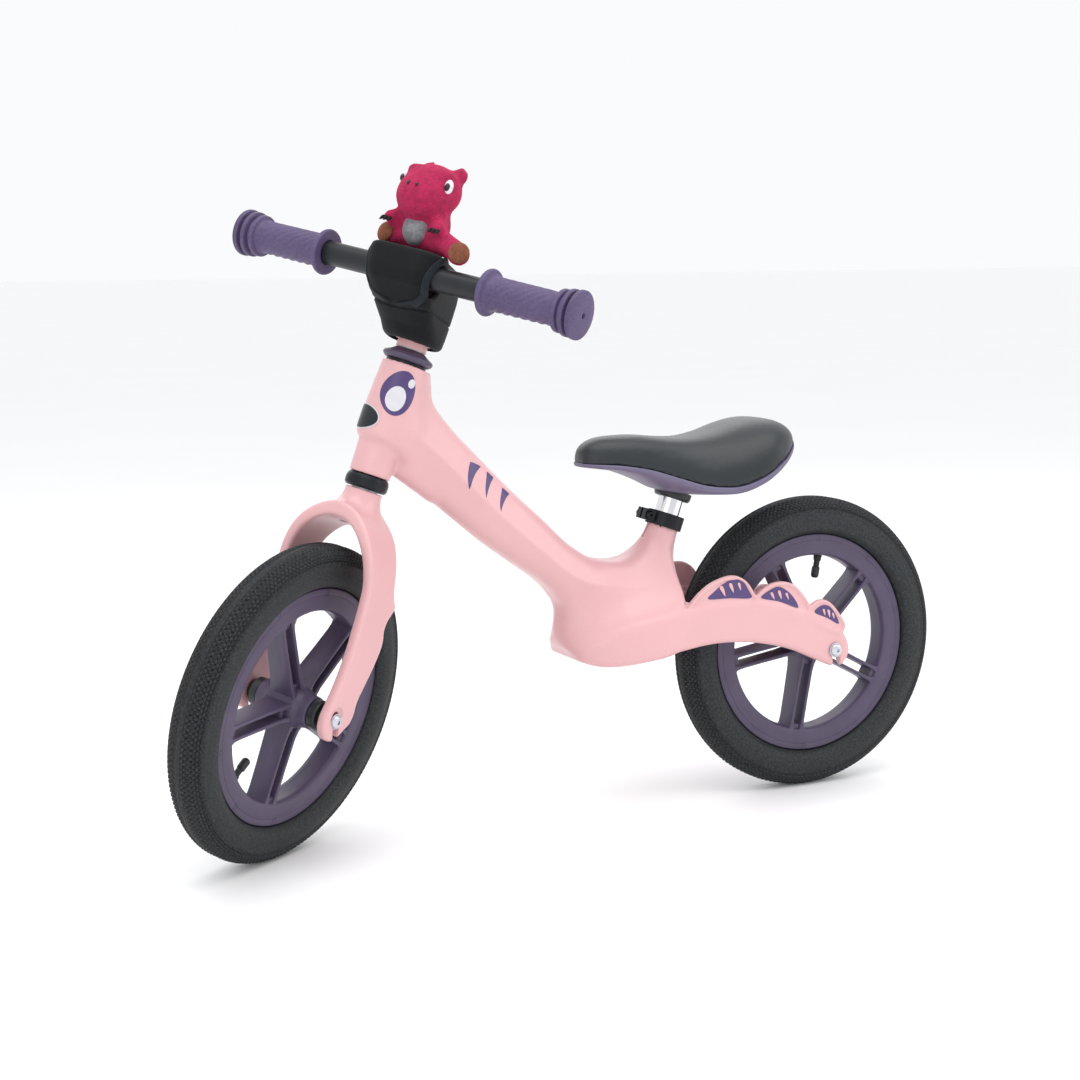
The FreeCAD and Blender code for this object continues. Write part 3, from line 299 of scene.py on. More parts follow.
def surface_net(values, low, step):
    """Points and quads of the zero surface of a grid of values."""
    inside = values < 0
    count = tuple(n - 1 for n in values.shape)
    corners = [(i, j, k) for i in (0, 1) for j in (0, 1) for k in (0, 1)]

    def corner_view(array, corner):
        return array[tuple(slice(c, c + n) for c, n in zip(corner, count))]

    total = sum(corner_view(inside, corner).astype(np.int8) for corner in corners)
    cells = np.argwhere((total > 0) & (total < 8))
    number = np.full(count, -1, np.int64)
    number[tuple(cells.T)] = np.arange(len(cells))
    spot = np.zeros((len(cells), 3))
    hits = np.zeros(len(cells))
    for a in corners:
        for axis in range(3):
            if a[axis]:
                continue
            b = tuple(1 if k == axis else a[k] for k in range(3))
            va = values[tuple((cells + a).T)]
            vb = values[tuple((cells + b).T)]
            crossing = (va < 0) != (vb < 0)
            share = np.where(crossing, va / np.where(crossing, va - vb, 1), 0)
            point = np.array(a, float) + share[:, None] * (np.array(b) - np.array(a))
            spot += point * crossing[:, None]
            hits += crossing
    points = (cells + spot / hits[:, None]) * step + low
    quads = []
    for axis in range(3):
        u, v = (axis + 1) % 3, (axis + 2) % 3
        here = [slice(1, n) for n in count]
        here[axis] = slice(0, count[axis])
        ahead = list(here)
        ahead[axis] = slice(1, count[axis] + 1)
        first, second = inside[tuple(here)], inside[tuple(ahead)]
        edges = np.argwhere(first != second)
        offset = np.array([1, 1, 1])
        offset[axis] = 0
        base = edges + offset
        outward = first[tuple(edges.T)]
        around = []
        for du, dv in ((1, 1), (0, 1), (0, 0), (1, 0)):
            cell = base.copy()
            cell[:, u] -= du
            cell[:, v] -= dv
            around.append(number[tuple(cell.T)])
        quad = np.stack(around, axis=1)
        quad[~outward] = quad[~outward][:, ::-1]
        quads.append(quad)
    return points, np.concatenate(quads)


def field_mesh(field, low, high, step, mirrored=True, rounds=3):
    """Mesh of a field's surface; a mirrored field is only worked out where y is positive."""
    low, high = np.array(low, float), np.array(high, float)
    axes = [np.arange(a, b + step, step) for a, b in zip(low, high)]
    if mirrored:
        axes[1] = np.arange(0, high[1] + step, step)
    values = field(axes[0][:, None, None], axes[1][None, :, None], axes[2][None, None, :])
    values = np.broadcast_to(values, tuple(len(axis) for axis in axes))
    start = low.copy()
    if mirrored:
        values = np.concatenate([values[:, :0:-1], values], axis=1)
        start[1] = -axes[1][-1]
    points, quads = surface_net(values, start, step)

    def at_points(where):
        across = np.abs(where[:, 1]) if mirrored else where[:, 1]
        return field(where[:, 0], across, where[:, 2])

    small = 0.05
    for _ in range(rounds):
        here = at_points(points)
        slope = np.stack([(at_points(points + small * axis) - here) / small for axis in np.eye(3)], axis=1)
        size = np.maximum((slope ** 2).sum(axis=1), 0.2)
        move = -(here / size)[:, None] * slope
        length = np.linalg.norm(move, axis=1)[:, None]
        points = points + move * np.minimum(1, 0.6 * step / np.maximum(length, 1e-9))
    return points, quads.tolist()


# ---------------------------------------------------------------- materials

def srgb(red, green, blue):
    """A linear colour from 0-255 screen values."""
    def linear(value):
        share = value / 255
        return share / 12.92 if share <= 0.04045 else ((share + 0.055) / 1.055) ** 2.4
    return (linear(red), linear(green), linear(blue), 1)


class Paint:
    """A material being built: its nodes hang on one Principled shader."""

    def __init__(self, name, roughness=0.5, metallic=0.0, **sockets):
        self.material = bpy.data.materials.new(name)
        self.material.use_nodes = True
        self.tree = self.material.node_tree
        self.shader = self.tree.nodes["Principled BSDF"]
        self.where = self.node("ShaderNodeTexCoord").outputs["Object"]
        self.set("Roughness", roughness)
        self.set("Metallic", metallic)
        for socket, value in sockets.items():
            self.set(socket.replace("_", " "), value)
        self.height = None

    def node(self, kind, **settings):
        node = self.tree.nodes.new(kind)
        for key, value in settings.items():
            if key in node.inputs:
                node.inputs[key].default_value = value
            else:
                setattr(node, key, value)
        return node

    def link(self, output, socket):
        self.tree.links.new(output, socket)

    def set(self, socket, value):
        self.shader.inputs[socket].default_value = value

    def noise(self, scale, detail=3.0, rough=0.55, stretch=None, warp=0.0):
        """Noise with a feature size of 1/scale metres, stretched if asked."""
        noise = self.node("ShaderNodeTexNoise", Scale=scale, Detail=detail, Roughness=rough,
                          Distortion=warp)
        self.link(self.stretched(stretch), noise.inputs["Vector"])
        return noise.outputs["Fac"]

    def cells(self, scale):
        cells = self.node("ShaderNodeTexVoronoi", Scale=scale)
        self.link(self.where, cells.inputs["Vector"])
        return cells.outputs["Distance"]

    def waves(self, scale, direction, warp):
        wave = self.node("ShaderNodeTexWave", Scale=scale, Distortion=warp, bands_direction=direction)
        self.link(self.where, wave.inputs["Vector"])
        return wave.outputs["Fac"]

    def stretched(self, stretch):
        if stretch is None:
            return self.where
        mapping = self.node("ShaderNodeMapping")
        mapping.inputs["Scale"].default_value = stretch
        self.link(self.where, mapping.inputs["Vector"])
        return mapping.outputs["Vector"]

    def ramp(self, value, stops):
        """Colours or greys placed along a value."""
        ramp = self.node("ShaderNodeValToRGB")
        elements = ramp.color_ramp.elements
        while len(elements) < len(stops):
            elements.new(0.5)
        for element, (position, colour) in zip(elements, stops):
            element.position = position
            element.color = colour if hasattr(colour, "__len__") else (colour, colour, colour, 1)
        self.link(value, ramp.inputs["Fac"])
        return ramp.outputs["Color"]

    def blend(self, share, first, second, kind="MIX"):
        """Two colours mixed; each may be a colour or another node's output."""
        mix = self.node("ShaderNodeMix", data_type="RGBA", blend_type=kind)
        for socket, value in zip((mix.inputs[0], mix.inputs[6], mix.inputs[7]), (share, first, second)):
            if isinstance(value, bpy.types.NodeSocket):
                self.link(value, socket)
            else:
                socket.default_value = value
        return mix.outputs[2]

    def product(self, first, second):
        node = self.node("ShaderNodeMath", operation="MULTIPLY")
        for socket, output in zip(node.inputs, (first, second)):
            self.link(output, socket)
        return node.outputs[0]

    def colour(self, value):
        self.link(value, self.shader.inputs["Base Color"])
        return self

    def rough(self, value, low, high):
        """Roughness that runs from low to high with a value."""
        spread = self.node("ShaderNodeMapRange")
        spread.inputs["To Min"].default_value = low
        spread.inputs["To Max"].default_value = high
        self.link(value, spread.inputs["Value"])
        self.link(spread.outputs[0], self.shader.inputs["Roughness"])
        return self

    def bump(self, value, height_mm):
        """Adds a bump of a real height on top of the earlier ones."""
        bump = self.node("ShaderNodeBump", Strength=1.0, Distance=height_mm * MM)
        self.link(value, bump.inputs["Height"])
        if self.height is not None:
            self.link(self.height, bump.inputs["Normal"])
        self.height = bump.outputs["Normal"]
        self.link(self.height, self.shader.inputs["Normal"])
        return self


def tint(colour, factor):
    """A colour made lighter or darker."""
    return tuple(min(1, part * factor) for part in colour[:3]) + (1,)


def painted_metal(name, colour):
    """Satin paint on a casting: faint orange peel, slow change of tone, tiny dust specks."""
    paint = Paint(name, roughness=0.38, Coat_Weight=0.35, Coat_Roughness=0.28)
    broad = paint.noise(9, detail=2)
    tone = paint.ramp(broad, [(0.3, tint(colour, 0.96)), (0.7, tint(colour, 1.03))])
    specks = paint.ramp(paint.noise(900, detail=1), [(0.25, 0.9), (0.36, 1.0)])
    paint.colour(paint.blend(1.0, tone, specks, "MULTIPLY"))
    paint.rough(paint.noise(160), 0.33, 0.46)
    return paint.bump(paint.noise(420, detail=2), 0.012).material


def moulded_plastic(name, colour, roughness=0.5, grain=700, streak=None):
    """Moulded plastic: fine spark-eroded grain, flow streaks and slightly polished wear."""
    paint = Paint(name, roughness=roughness)
    streaks = paint.noise(30, detail=3, stretch=streak)
    tone = paint.ramp(streaks, [(0.25, tint(colour, 0.84)), (0.75, tint(colour, 1.16))])
    paint.colour(tone)
    paint.rough(paint.noise(60, detail=4), roughness - 0.1, roughness + 0.1)
    return paint.bump(paint.noise(grain, detail=2), 0.02).material


def rubber(name, colour, roughness=0.62):
    """Moulded rubber with a bloom of dust and a fine pitted skin."""
    paint = Paint(name, roughness=roughness, Specular_IOR_Level=0.4)
    bloom = paint.noise(24, detail=5, warp=0.4)
    dust = paint.noise(500, detail=2)
    tone = paint.ramp(bloom, [(0.3, tint(colour, 0.75)), (0.62, colour), (0.8, tint(colour, 1.5))])
    paint.colour(paint.blend(0.25, tone, paint.ramp(dust, [(0.4, 0.0), (0.8, 0.12)]), "ADD"))
    paint.rough(bloom, roughness - 0.14, roughness + 0.1)
    return paint.bump(paint.noise(900, detail=2), 0.03).material


def bare_metal(name, colour, roughness=0.25, brush=(40, 40, 900)):
    """Turned or plated metal: fine lay marks, a few scratches, darker handling marks."""
    paint = Paint(name, roughness=roughness, metallic=1.0)
    smear = paint.noise(35, detail=4)
    paint.colour(paint.ramp(smear, [(0.3, tint(colour, 0.82)), (0.7, tint(colour, 1.08))]))
    paint.rough(smear, max(0.04, roughness - 0.08), roughness + 0.1)
    return paint.bump(paint.noise(1.0, detail=3, stretch=brush), 0.006).material


def black_finish(name, colour, roughness=0.36, metallic=0.55):
    """Black anodised or oxidised metal with slightly rubbed high spots."""
    paint = Paint(name, roughness=roughness, metallic=metallic)
    wear = paint.noise(55, detail=5)
    paint.colour(paint.ramp(wear, [(0.35, tint(colour, 0.8)), (0.6, colour), (0.8, tint(colour, 1.7))]))
    paint.rough(wear, roughness - 0.1, roughness + 0.12)
    return paint.bump(paint.noise(800), 0.01).material


def printed_film(name, colour):
    """A thin printed film: even satin colour with faint ripple and dust."""
    paint = Paint(name, roughness=0.36, Coat_Weight=0.3, Coat_Roughness=0.2)
    ripple = paint.noise(70, detail=4)
    paint.colour(paint.ramp(ripple, [(0.3, tint(colour, 0.93)), (0.7, tint(colour, 1.05))]))
    paint.rough(paint.noise(200), 0.3, 0.42)
    return paint.bump(paint.noise(350), 0.01).material


def leatherette(name, colour):
    """Saddle covering: pebbled grain of small cells with creases and a soft sheen."""
    paint = Paint(name, roughness=0.42, Sheen_Weight=0.12, Sheen_Roughness=0.4, Coat_Weight=0.12,
                  Coat_Roughness=0.35)
    broad = paint.noise(18, detail=3)
    paint.colour(paint.ramp(broad, [(0.3, tint(colour, 0.82)), (0.7, tint(colour, 1.12))]))
    pebbles = paint.cells(820)
    paint.rough(pebbles, 0.36, 0.56)
    paint.bump(pebbles, 0.05)
    return paint.bump(paint.noise(260, detail=4, warp=0.8), 0.05).material


def neoprene(name, colour):
    """Knitted face of a foam sleeve: fine crossing ribs over a matt dark cloth, with painted shade between the
    ribs and painted highlight on them.
    """
    paint = Paint(name, roughness=0.85, Sheen_Weight=0.08, Sheen_Roughness=0.5,
                  Specular_IOR_Level=0.25)
    across = paint.waves(330, "Z", warp=0.6)
    down = paint.waves(330, "Y", warp=0.6)
    weave = paint.product(across, down)
    lint = paint.noise(140, detail=5)
    # The rib colour follows the weave bump: painted shade in the grooves, painted highlight on the ribs.
    knit_shading = paint.ramp(weave, [(0.1, tint(colour, 0.55)), (0.8, tint(colour, 1.5))])
    fluff = paint.ramp(lint, [(0.3, tint(colour, 0.7)), (0.75, tint(colour, 1.6))])
    paint.colour(paint.blend(0.5, knit_shading, fluff))
    paint.bump(weave, 0.12)
    return paint.bump(lint, 0.15).material


def plush(name, colour, pile=1.0):
    """Short pile: clumped tufts with painted highlight on their tips, painted shade at their roots and between
    clumps, and a strong sheen.
    """
    paint = Paint(name, roughness=0.95, Sheen_Weight=0.6, Sheen_Roughness=0.35,
                  Sheen_Tint=tint(colour, 1.9))
    tufts = paint.noise(260, detail=5, rough=0.7, warp=1.2)
    clumps = paint.noise(70, detail=3, warp=1.0)
    # Colour follows the tuft and clump bumps: painted shade in the dips, painted highlight on the tops.
    fine = paint.ramp(tufts, [(0.3, tint(colour, 0.42)), (0.55, colour), (0.75, tint(colour, 1.55))])
    clump_shading = paint.ramp(clumps, [(0.35, tint(colour, 0.6)), (0.7, tint(colour, 1.3))])
    paint.colour(paint.blend(0.4, fine, clump_shading))
    paint.bump(clumps, 0.6 * pile)
    return paint.bump(tufts, 0.7 * pile).material


PINK = (218, 168, 170)
PURPLE = (72, 62, 86)
GRIP_PURPLE = (84, 70, 108)
VIOLET = (70, 50, 106)
NEAR_BLACK = (22, 26, 30)

# Every finish: how it is made, its colour on screen and what sets it apart.
FINISHES = {
    "pink_paint": (painted_metal, PINK, {}),
    "badge_plate": (black_finish, (24, 30, 34), dict(roughness=0.3, metallic=0.2)),
    "black_alloy": (black_finish, (24, 28, 32), {}),
    "bearing_steel": (bare_metal, (190, 192, 196), {}),
    "zinc_steel": (bare_metal, (205, 208, 214), dict(roughness=0.3)),
    "black_steel": (black_finish, (24, 26, 29), {}),
    "steerer_alloy": (bare_metal, (180, 184, 188), dict(roughness=0.35)),
    "purple_plastic": (moulded_plastic, PURPLE, dict(roughness=0.46, streak=(1, 1, 3))),
    "bar_black": (black_finish, (30, 34, 38), dict(roughness=0.42, metallic=0.25)),
    "grip_rubber": (rubber, GRIP_PURPLE, dict(roughness=0.56)),
    "neoprene": (neoprene, (7, 10, 13), {}),
    "toy_plush": (plush, (170, 26, 76), {}),
    "rim_nylon": (moulded_plastic, PURPLE, dict(roughness=0.44, streak=(1, 1, 4))),
    "tyre_rubber": (rubber, (17, 23, 27), {}),
    "tube_rubber": (rubber, (30, 32, 34), {}),
    "black_plastic": (moulded_plastic, NEAR_BLACK, dict(roughness=0.4, grain=500)),
    "chrome_post": (bare_metal, (232, 234, 238), dict(roughness=0.09, brush=(900, 900, 30))),
    "saddle_plastic": (moulded_plastic, (102, 95, 120), {}),
    "saddle_leather": (leatherette, (20, 27, 32), {}),
    "violet_film": (printed_film, VIOLET, {}),
    "white_film": (printed_film, (208, 206, 212), {}),
    "binding": (neoprene, (28, 35, 40), {}),
    "toy_white": (plush, (226, 228, 236), dict(pile=0.2)),
    "toy_grey": (plush, (132, 132, 136), dict(pile=0.6)),
    "toy_brown": (plush, (126, 74, 52), dict(pile=0.8)),
    "toy_dark": (moulded_plastic, (30, 20, 30), dict(roughness=0.3)),
    "toy_black": (plush, (24, 22, 26), dict(pile=0.3)),
}
MATERIALS = {name: maker(name, srgb(*colour), **look) for name, (maker, colour, look) in FINISHES.items()}


def finish_cad_nodes():
    """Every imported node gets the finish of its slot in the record."""
    slots = {part["node"]: part["material_slot"] for part in frame["record"]["subparts"]}
    for name, thing in frame["nodes"].items():
        for socket in thing.material_slots:
            socket.link = "OBJECT"
            socket.material = MATERIALS[slots[name]]


# ---------------------------------------------------------------- wheels

SPOKES = 5
HUB_HALF = 29
FLANGE_RADIUS = 113.5
RIM_HALF_WIDTH = 13


def blade(offset):
    """One spoke blade along +X: rounded in section, spread where it meets hub and rim."""
    rings = []
    for reach, depth, thick in ((10, 17, 3.4), (16, 15.5, 2.8), (22, 13.4, 2.1), (30, 12.3, 1.8),
                                (60, 11.6, 1.7), (82, 11.4, 1.75), (89, 11.6, 2.2), (93, 12, 3.6),
                                (95, 12.2, 5.5)):
        section = rounded([(-thick, -depth, 1.1), (thick, -depth, 1.1), (thick, depth, 1.1),
                           (-thick, depth, 1.1)], steps=3)
        rings.append([(reach, offset + across, along) for across, along in section])
    return loft(rings)


def spoke_web(start, end):
    """Bridge that joins the two blades of a spoke at one of its ends."""
    rings = []
    for reach, depth in ((start, 8), (start + 1.2, 9.6), (end - 1.2, 9.6), (end, 8)):
        section = rounded([(-7, -depth, 2), (7, -depth, 2), (7, depth, 2), (-7, depth, 2)], steps=3)
        rings.append([(reach, across, along) for across, along in section])
    return loft(rings)


def both_halves(corners):
    """An outline of (radius, height) corners and their mirror image, from low to high."""
    return [(across, -height, *more) for across, height, *more in corners] + corners[::-1]


def rim_shape():
    half, flange, bead, opening = RIM_HALF_WIDTH, FLANGE_RADIUS, 102, 91
    ring = lathe(rounded(both_halves([
        (opening, half - 4.5, 3), (opening + 2.2, half - 0.6, 1.2), (opening + 7.5, half, 1.5),
        (flange - 6.4, half, 0.5), (flange - 6, half - 0.5, 0.4), (flange - 5.4, half, 0.5),
        (flange, half, 1), (flange, half - 3, 0.8), (bead, half - 3.5, 1)]), steps=3), steps=180)
    hub = lathe(rounded(both_halves([
        (7.4, HUB_HALF - 7), (11, HUB_HALF - 7), (11, HUB_HALF), (15.2, HUB_HALF, 1),
        (15.5, HUB_HALF - 3, 1), (16.4, HUB_HALF - 9, 3), (19.4, 14, 3)]), 0.5), steps=72)
    whole = Shell().add(ring).add(hub)
    for index in range(SPOKES):
        way = turn(360 * index / SPOKES)
        for side in (1, -1):
            whole.add(blade(6.3 * side), way)
        whole.add(spoke_web(12, 24), way).add(spoke_web(86.5, 94), way)
    return whole.shape()


def rim_ticks():
    """Short raised index marks on the faces of the rim, two by two."""
    marks = Shell()
    for index in range(2 * SPOKES):
        for side in (1, -1):
            for offset in (-0.9, 0.9):
                way = turn(180 / SPOKES * index + 6 + offset)
                base = rounded([(105.5, -0.25), (112.5, -0.25), (112.5, 0.25), (105.5, 0.25)], 0.2, steps=2)
                rings = [[(x, y, side * level) for x, y in base][::side]
                         for level in (RIM_HALF_WIDTH - 0.6, RIM_HALF_WIDTH + 0.22)]
                marks.add(loft(rings), way)
    return marks.shape()


def tyre_outline():
    """Half outline from the crown round to the bead, as (radius, half width)."""
    crown = WHEEL_RADIUS - 0.3
    return smooth_line([(crown, 0), (crown - 1.6, 8), (crown - 6.2, 14.4), (crown - 14.6, 19.6),
                        (crown - 25.5, 21.2), (crown - 33, 19.4), (FLANGE_RADIUS + 1.4, 15.4)], per_span=9)


# Lozenges round the tyre, half the width of the tread along the tyre's surface, the step of its
# mesh, and how far the casing lies inside the tyre's outline.
TREAD_COUNT, TREAD_HALF, TREAD_STEP, CASING_DROP = 180, 27, 0.8, 0.9


def tread_height(angle, distance):
    """Height of the tread over the casing, by angle round the wheel and distance from the crown."""
    across = np.abs(distance)
    ribs = 0.45 + 0.45 * (np.cos(2 * math.pi * across / 2.6) > -0.2)
    pitch = 2 * math.pi * WHEEL_RADIUS / TREAD_COUNT
    along = angle / (2 * math.pi) * TREAD_COUNT
    first = np.abs(((along + across / pitch) % 1.0) - 0.5)
    second = np.abs(((along - across / pitch) % 1.0) - 0.5)
    groove = 0.5 - np.maximum(first, second)
    blocks = 1.9 * np.clip(groove / 0.16, 0, 1)
    edge = 0.65 * np.clip((0.5 - np.abs((2 * along % 1.0) - 0.5) - 0.16) / 0.12, 0, 1)
    moulding = 0.35 * np.exp(-((across - 33.5) / 0.7) ** 2) + 0.3 * np.exp(-((across - 44.5) / 0.8) ** 2)
    height = np.where(across < 3.8, ribs, np.where(across < 21.5, blocks, 0))
    height = np.where((across >= 22.2) & (across < 26.5), edge, height)
    return height + moulding


def tyre_shape():
    half = tyre_outline()
    full = np.concatenate([half[:0:-1] * (1, -1), half])
    span = np.concatenate([[0], np.cumsum(np.linalg.norm(np.diff(full, axis=0), axis=1))])
    span -= span[-1] / 2
    fine = np.arange(-TREAD_HALF, TREAD_HALF + 0.1, TREAD_STEP)
    flank = TREAD_HALF + 1.2
    across = np.concatenate([np.linspace(span[0], -flank, 12), fine, np.linspace(flank, span[-1], 12)])
    radius = np.interp(across, span, full[:, 0])
    width = np.interp(across, span, full[:, 1])
    slope = np.stack([np.gradient(radius), np.gradient(width)], axis=1)
    slope /= np.linalg.norm(slope, axis=1)[:, None]
    outward = np.stack([slope[:, 1], -slope[:, 0]], axis=1)
    steps = TREAD_COUNT * 5
    angles = np.linspace(0, 2 * math.pi, steps, endpoint=False)
    height = tread_height(angles[:, None], across[None, :]) - CASING_DROP
    r = radius + height * outward[:, 0]
    z = width + height * outward[:, 1]
    inner = np.array([(FLANGE_RADIUS + 1.2, -13.2), (FLANGE_RADIUS + 1.2, -9.2), (104, -9.2),
                      (103, 0), (104, 9.2), (FLANGE_RADIUS + 1.2, 9.2), (FLANGE_RADIUS + 1.2, 13.2)])[::-1]
    r = np.concatenate([r, np.tile(inner[:, 0], (steps, 1))], axis=1)
    z = np.concatenate([z, np.tile(inner[:, 1], (steps, 1))], axis=1)
    points = np.stack([np.cos(angles)[:, None] * r, np.sin(angles)[:, None] * r, z], axis=-1)
    return points.reshape(-1, 3), ring_faces(steps, r.shape[1])


def button_bolt():
    """Button head with a hexagon socket, its underside at z = 0."""
    profile = smooth_line([(6.6, 0), (6.5, 1), (5.8, 2.3), (4.4, 3.1), (2.9, 3.35)], per_span=4)
    steps = 48
    angles = np.linspace(0, 2 * math.pi, steps, endpoint=False)
    to_hexagon = 2.25 * math.cos(math.pi / 6) / np.cos((angles + math.pi / 6) % (math.pi / 3) - math.pi / 6)
    rings = [[(r * math.cos(a), r * math.sin(a), z) for a in angles] for r, z in [(2.4, 0.0), *profile]]
    rings += [[(r * math.cos(a), r * math.sin(a), z) for a, r in zip(angles, to_hexagon)]
              for z in (3.3, 3.1, 1.4)]
    return loft(rings)


def washer(inner, outer, thick):
    return lathe(rounded([(inner, 0), (outer, 0), (outer, thick), (inner, thick)], 0.3), steps=48)


def make_wheel(name, hub, angle, body, leg_inner, leg_outer, fixed_to):
    """Rim, tyre, valve and the pieces on the axle; angle turns the first spoke up from ahead."""
    place = hub @ turn(-angle)
    piece(name + "_rim_moulding", rim_shape(), "rim_nylon", body, place, stands_for=[name + "_rim"],
          smooth=35)
    piece(name + "_rim_marks", rim_ticks(), "rim_nylon", body, place)
    piece(name + "_tyre_tread", tyre_shape(), "tyre_rubber", body, place, stands_for=[name + "_tyre"],
          smooth=38)
    valve = place @ turn(-180 / SPOKES) @ turn(90, "Y")
    cap = rounded([(0.02, 66.5), (2.6, 66.5, 0.8), (4.1, 68.6), (4.1, 77.6), (3.4, 78.6, 0.6),
                   (0.02, 78.6)], 0.5)
    cap_points, cap_faces = lathe(cap, 40)
    flutes = np.arctan2(cap_points[:, 1], cap_points[:, 0])
    on_side = np.hypot(cap_points[:, 0], cap_points[:, 1]) > 3.5
    grow = np.where(on_side, 1 - 0.07 * (np.cos(10 * flutes) > 0), 1)
    cap_points = cap_points * np.stack([grow, grow, np.ones_like(grow)], axis=1)
    piece(name + "_valve_dust_cap", (cap_points, cap_faces), "black_plastic", body, valve,
          stands_for=[name + "_valve_cap"])
    collar = lathe(rounded([(0.02, 78.7, 0), (3.1, 78.7), (3.1, 84, 0.3), (3.9, 85.5), (4.4, 90.6),
                            (0.02, 90.6, 0)], 0.4), 40)
    piece(name + "_valve_sleeve", collar, "tube_rubber", body, valve)
    spacers, washers, bolts = Shell(), Shell(), Shell()
    recess = leg_outer - 1.5
    for side in (1, -1):
        way = Matrix.Identity(4) if side > 0 else turn(180, "X")
        spacers.add(lathe(rounded([
            (4.1, HUB_HALF + 0.3), (13.4, HUB_HALF + 0.3, 0.8), (14.1, HUB_HALF + 1.2, 0.8),
            (14.1, HUB_HALF + 8, 0.8), (13, HUB_HALF + 9.6, 1), (9.2, HUB_HALF + 9.9, 1),
            (8.6, HUB_HALF + 10.6, 0.8), (8.6, leg_inner, 0.5), (4.1, leg_inner)], 0.5), 64), way)
        washers.add(washer(2.7, 7.6, 1.2), way @ shift(z=recess))
        bolts.add(button_bolt(), way @ shift(z=recess + 1.2))
    piece(name + "_spacer_pair", spacers.shape(), "black_plastic", fixed_to, hub,
          stands_for=[name + "_hub_spacers"])
    piece(name + "_washer_pair", washers.shape(), "zinc_steel", fixed_to, hub,
          stands_for=[name + "_axle_washers"])
    piece(name + "_bolt_heads", bolts.shape(), "zinc_steel", fixed_to, hub,
          stands_for=[name + "_axle_bolts"])


# ---------------------------------------------------------------- handlebar

GRIP_START = 88
GRIP_END = 187.5


def grip_shape():
    """Grip along +Z: inner flange, ribbed hand part, three discs and a domed end with a hole."""
    start, end = GRIP_START, GRIP_END
    body = [(11.2, start), (20.6, start, 1.4), (21.6, start + 2.4, 1.6), (20.6, start + 5, 1.4),
            (17, start + 6.2, 1.6), (15.3, start + 9, 2), (15.0, end - 27.5, 1.5)]
    for reach, rim in ((23, 4.4), (14.5, 6.1), (6.5, 6.9)):
        body += [(16, end - reach - 0.8, 0.8), (15 + rim, end - reach, 1.2),
                 (15 + rim, end - reach + 4.4, 1.2), (16.2, end - reach + 5.2, 0.8)]
    body = body[:-1] + [(12, end, 1.5), (2.6, end + 0.2, 0.6), (2.2, end - 2, 0.3), (2, end - 3.4, 0),
                        (11.2, end - 3.4, 0)]
    points, faces = lathe(densify(rounded(body), start + 9, end - 28, 0.9), 144)
    angle = np.arctan2(points[:, 1], points[:, 0])
    radius = np.hypot(points[:, 0], points[:, 1])
    on_hand = (points[:, 2] > start + 10) & (points[:, 2] < end - 29) & (radius > 14)
    lean = (points[:, 2] - start) / 34
    ribs = 0.42 * np.cos(12 * (angle + 2 * np.pi * lean / 3.2)) * on_hand
    fade = np.clip(np.minimum(points[:, 2] - start - 10, end - 29 - points[:, 2]) / 3, 0, 1)
    factor = 1 + ribs * fade / np.maximum(radius, 1)
    points[:, :2] *= factor[:, None]
    return points, faces


def densify(outline, low, high, step):
    """Adds points on the long runs of an outline between two heights."""
    result = []
    for here, after in zip(outline, np.roll(outline, -1, axis=0)):
        result.append(here)
        length = abs(after[1] - here[1])
        if length > 2 * step and min(here[1], after[1]) > low - 3 and max(here[1], after[1]) < high + 3 \
                and min(here[0], after[0]) > 14:
            count = int(length / step)
            result += [here + (after - here) * k / count for k in range(1, count)]
    return np.array(result)


def make_handlebar():
    for name, side in (("left_grip", 1), ("right_grip", -1)):
        place = BAR @ turn(-90 * side, "X")
        piece(name + "_rubber", grip_shape(), "grip_rubber", "steering", place, stands_for=[name],
              smooth=50)


# ---------------------------------------------------------------- headset

def make_headset():
    cup = lathe(rounded([
        (13.4, 213), (13.4, 213.5), (17, 213.5, 0.3), (17, 203.2, 0.3), (18.4, 203.2, 0.6),
        (20.2, 205.5, 1), (20.4, 211.5, 1.8), (19, 215, 1.2), (17.4, 216.7, 0.5), (15, 216.8, 0),
        (15, 224.9, 0.2), (13.4, 224.9, 0.2)], 0.3), 96)
    piece("lower_cup_ring", cup, "black_alloy", "frame", HEAD, stands_for=["lower_headset_cup"])
    cover = lathe(rounded([
        (12.8, 331.7, 0.2), (18.3, 331.7, 0.3), (18.3, 326.5, 0.3), (20.8, 326.2, 0.6), (22.6, 327.6, 1),
        (24, 329.4, 1.4), (23.6, 331.8, 1.4), (17.2, 335.2, 2), (13.9, 337.6, 0.8),
        (12.8, 337.9, 0.2)], 0.3), 96)
    piece("dust_cover_ring", cover, "purple_plastic", "steering", STEERED,
          stands_for=["headset_dust_cover"])


# ---------------------------------------------------------------- cast frame

STAY_OUTER, STAY_INNER = 58, 47
WHEEL_GAP = 166
REAR_X = -WHEELBASE / 2
SEAT_WAY = np.array((math.cos(math.radians(110)), 0, math.sin(math.radians(110))))
SEAT_SPOT = np.array((-113.0, 0, 285.0))

# Upper edge of the beam from the head tube down and up the front of the seat tube.
UPPER_EDGE = [(139, 448), (134, 434), (132, 421), (123, 406), (110, 389), (94, 372), (58, 335),
              (23, 302), (0, 279), (-23, 263), (-43, 255), (-59, 253), (-75, 257), (-85, 266),
              (-92, 279), (-97, 294)]
# Lower edge from under the head tube to the front of the belly.
LOWER_EDGE = [(8, 219), (17, 232), (31, 244.5), (54, 260.5), (84, 282), (114, 306.5), (142, 330),
              (170, 352)]
# Crease along the side of the beam, where it is widest.
CREASE = [(160, 392), (127, 361), (101, 335), (75, 310), (48, 286), (25, 266), (4, 249), (-20, 238),
          (-57, 232), (-100, 232)]
CREASE_HALF_WIDTH = [21, 23, 24.5, 26, 28, 30, 32, 31, 25, 17]
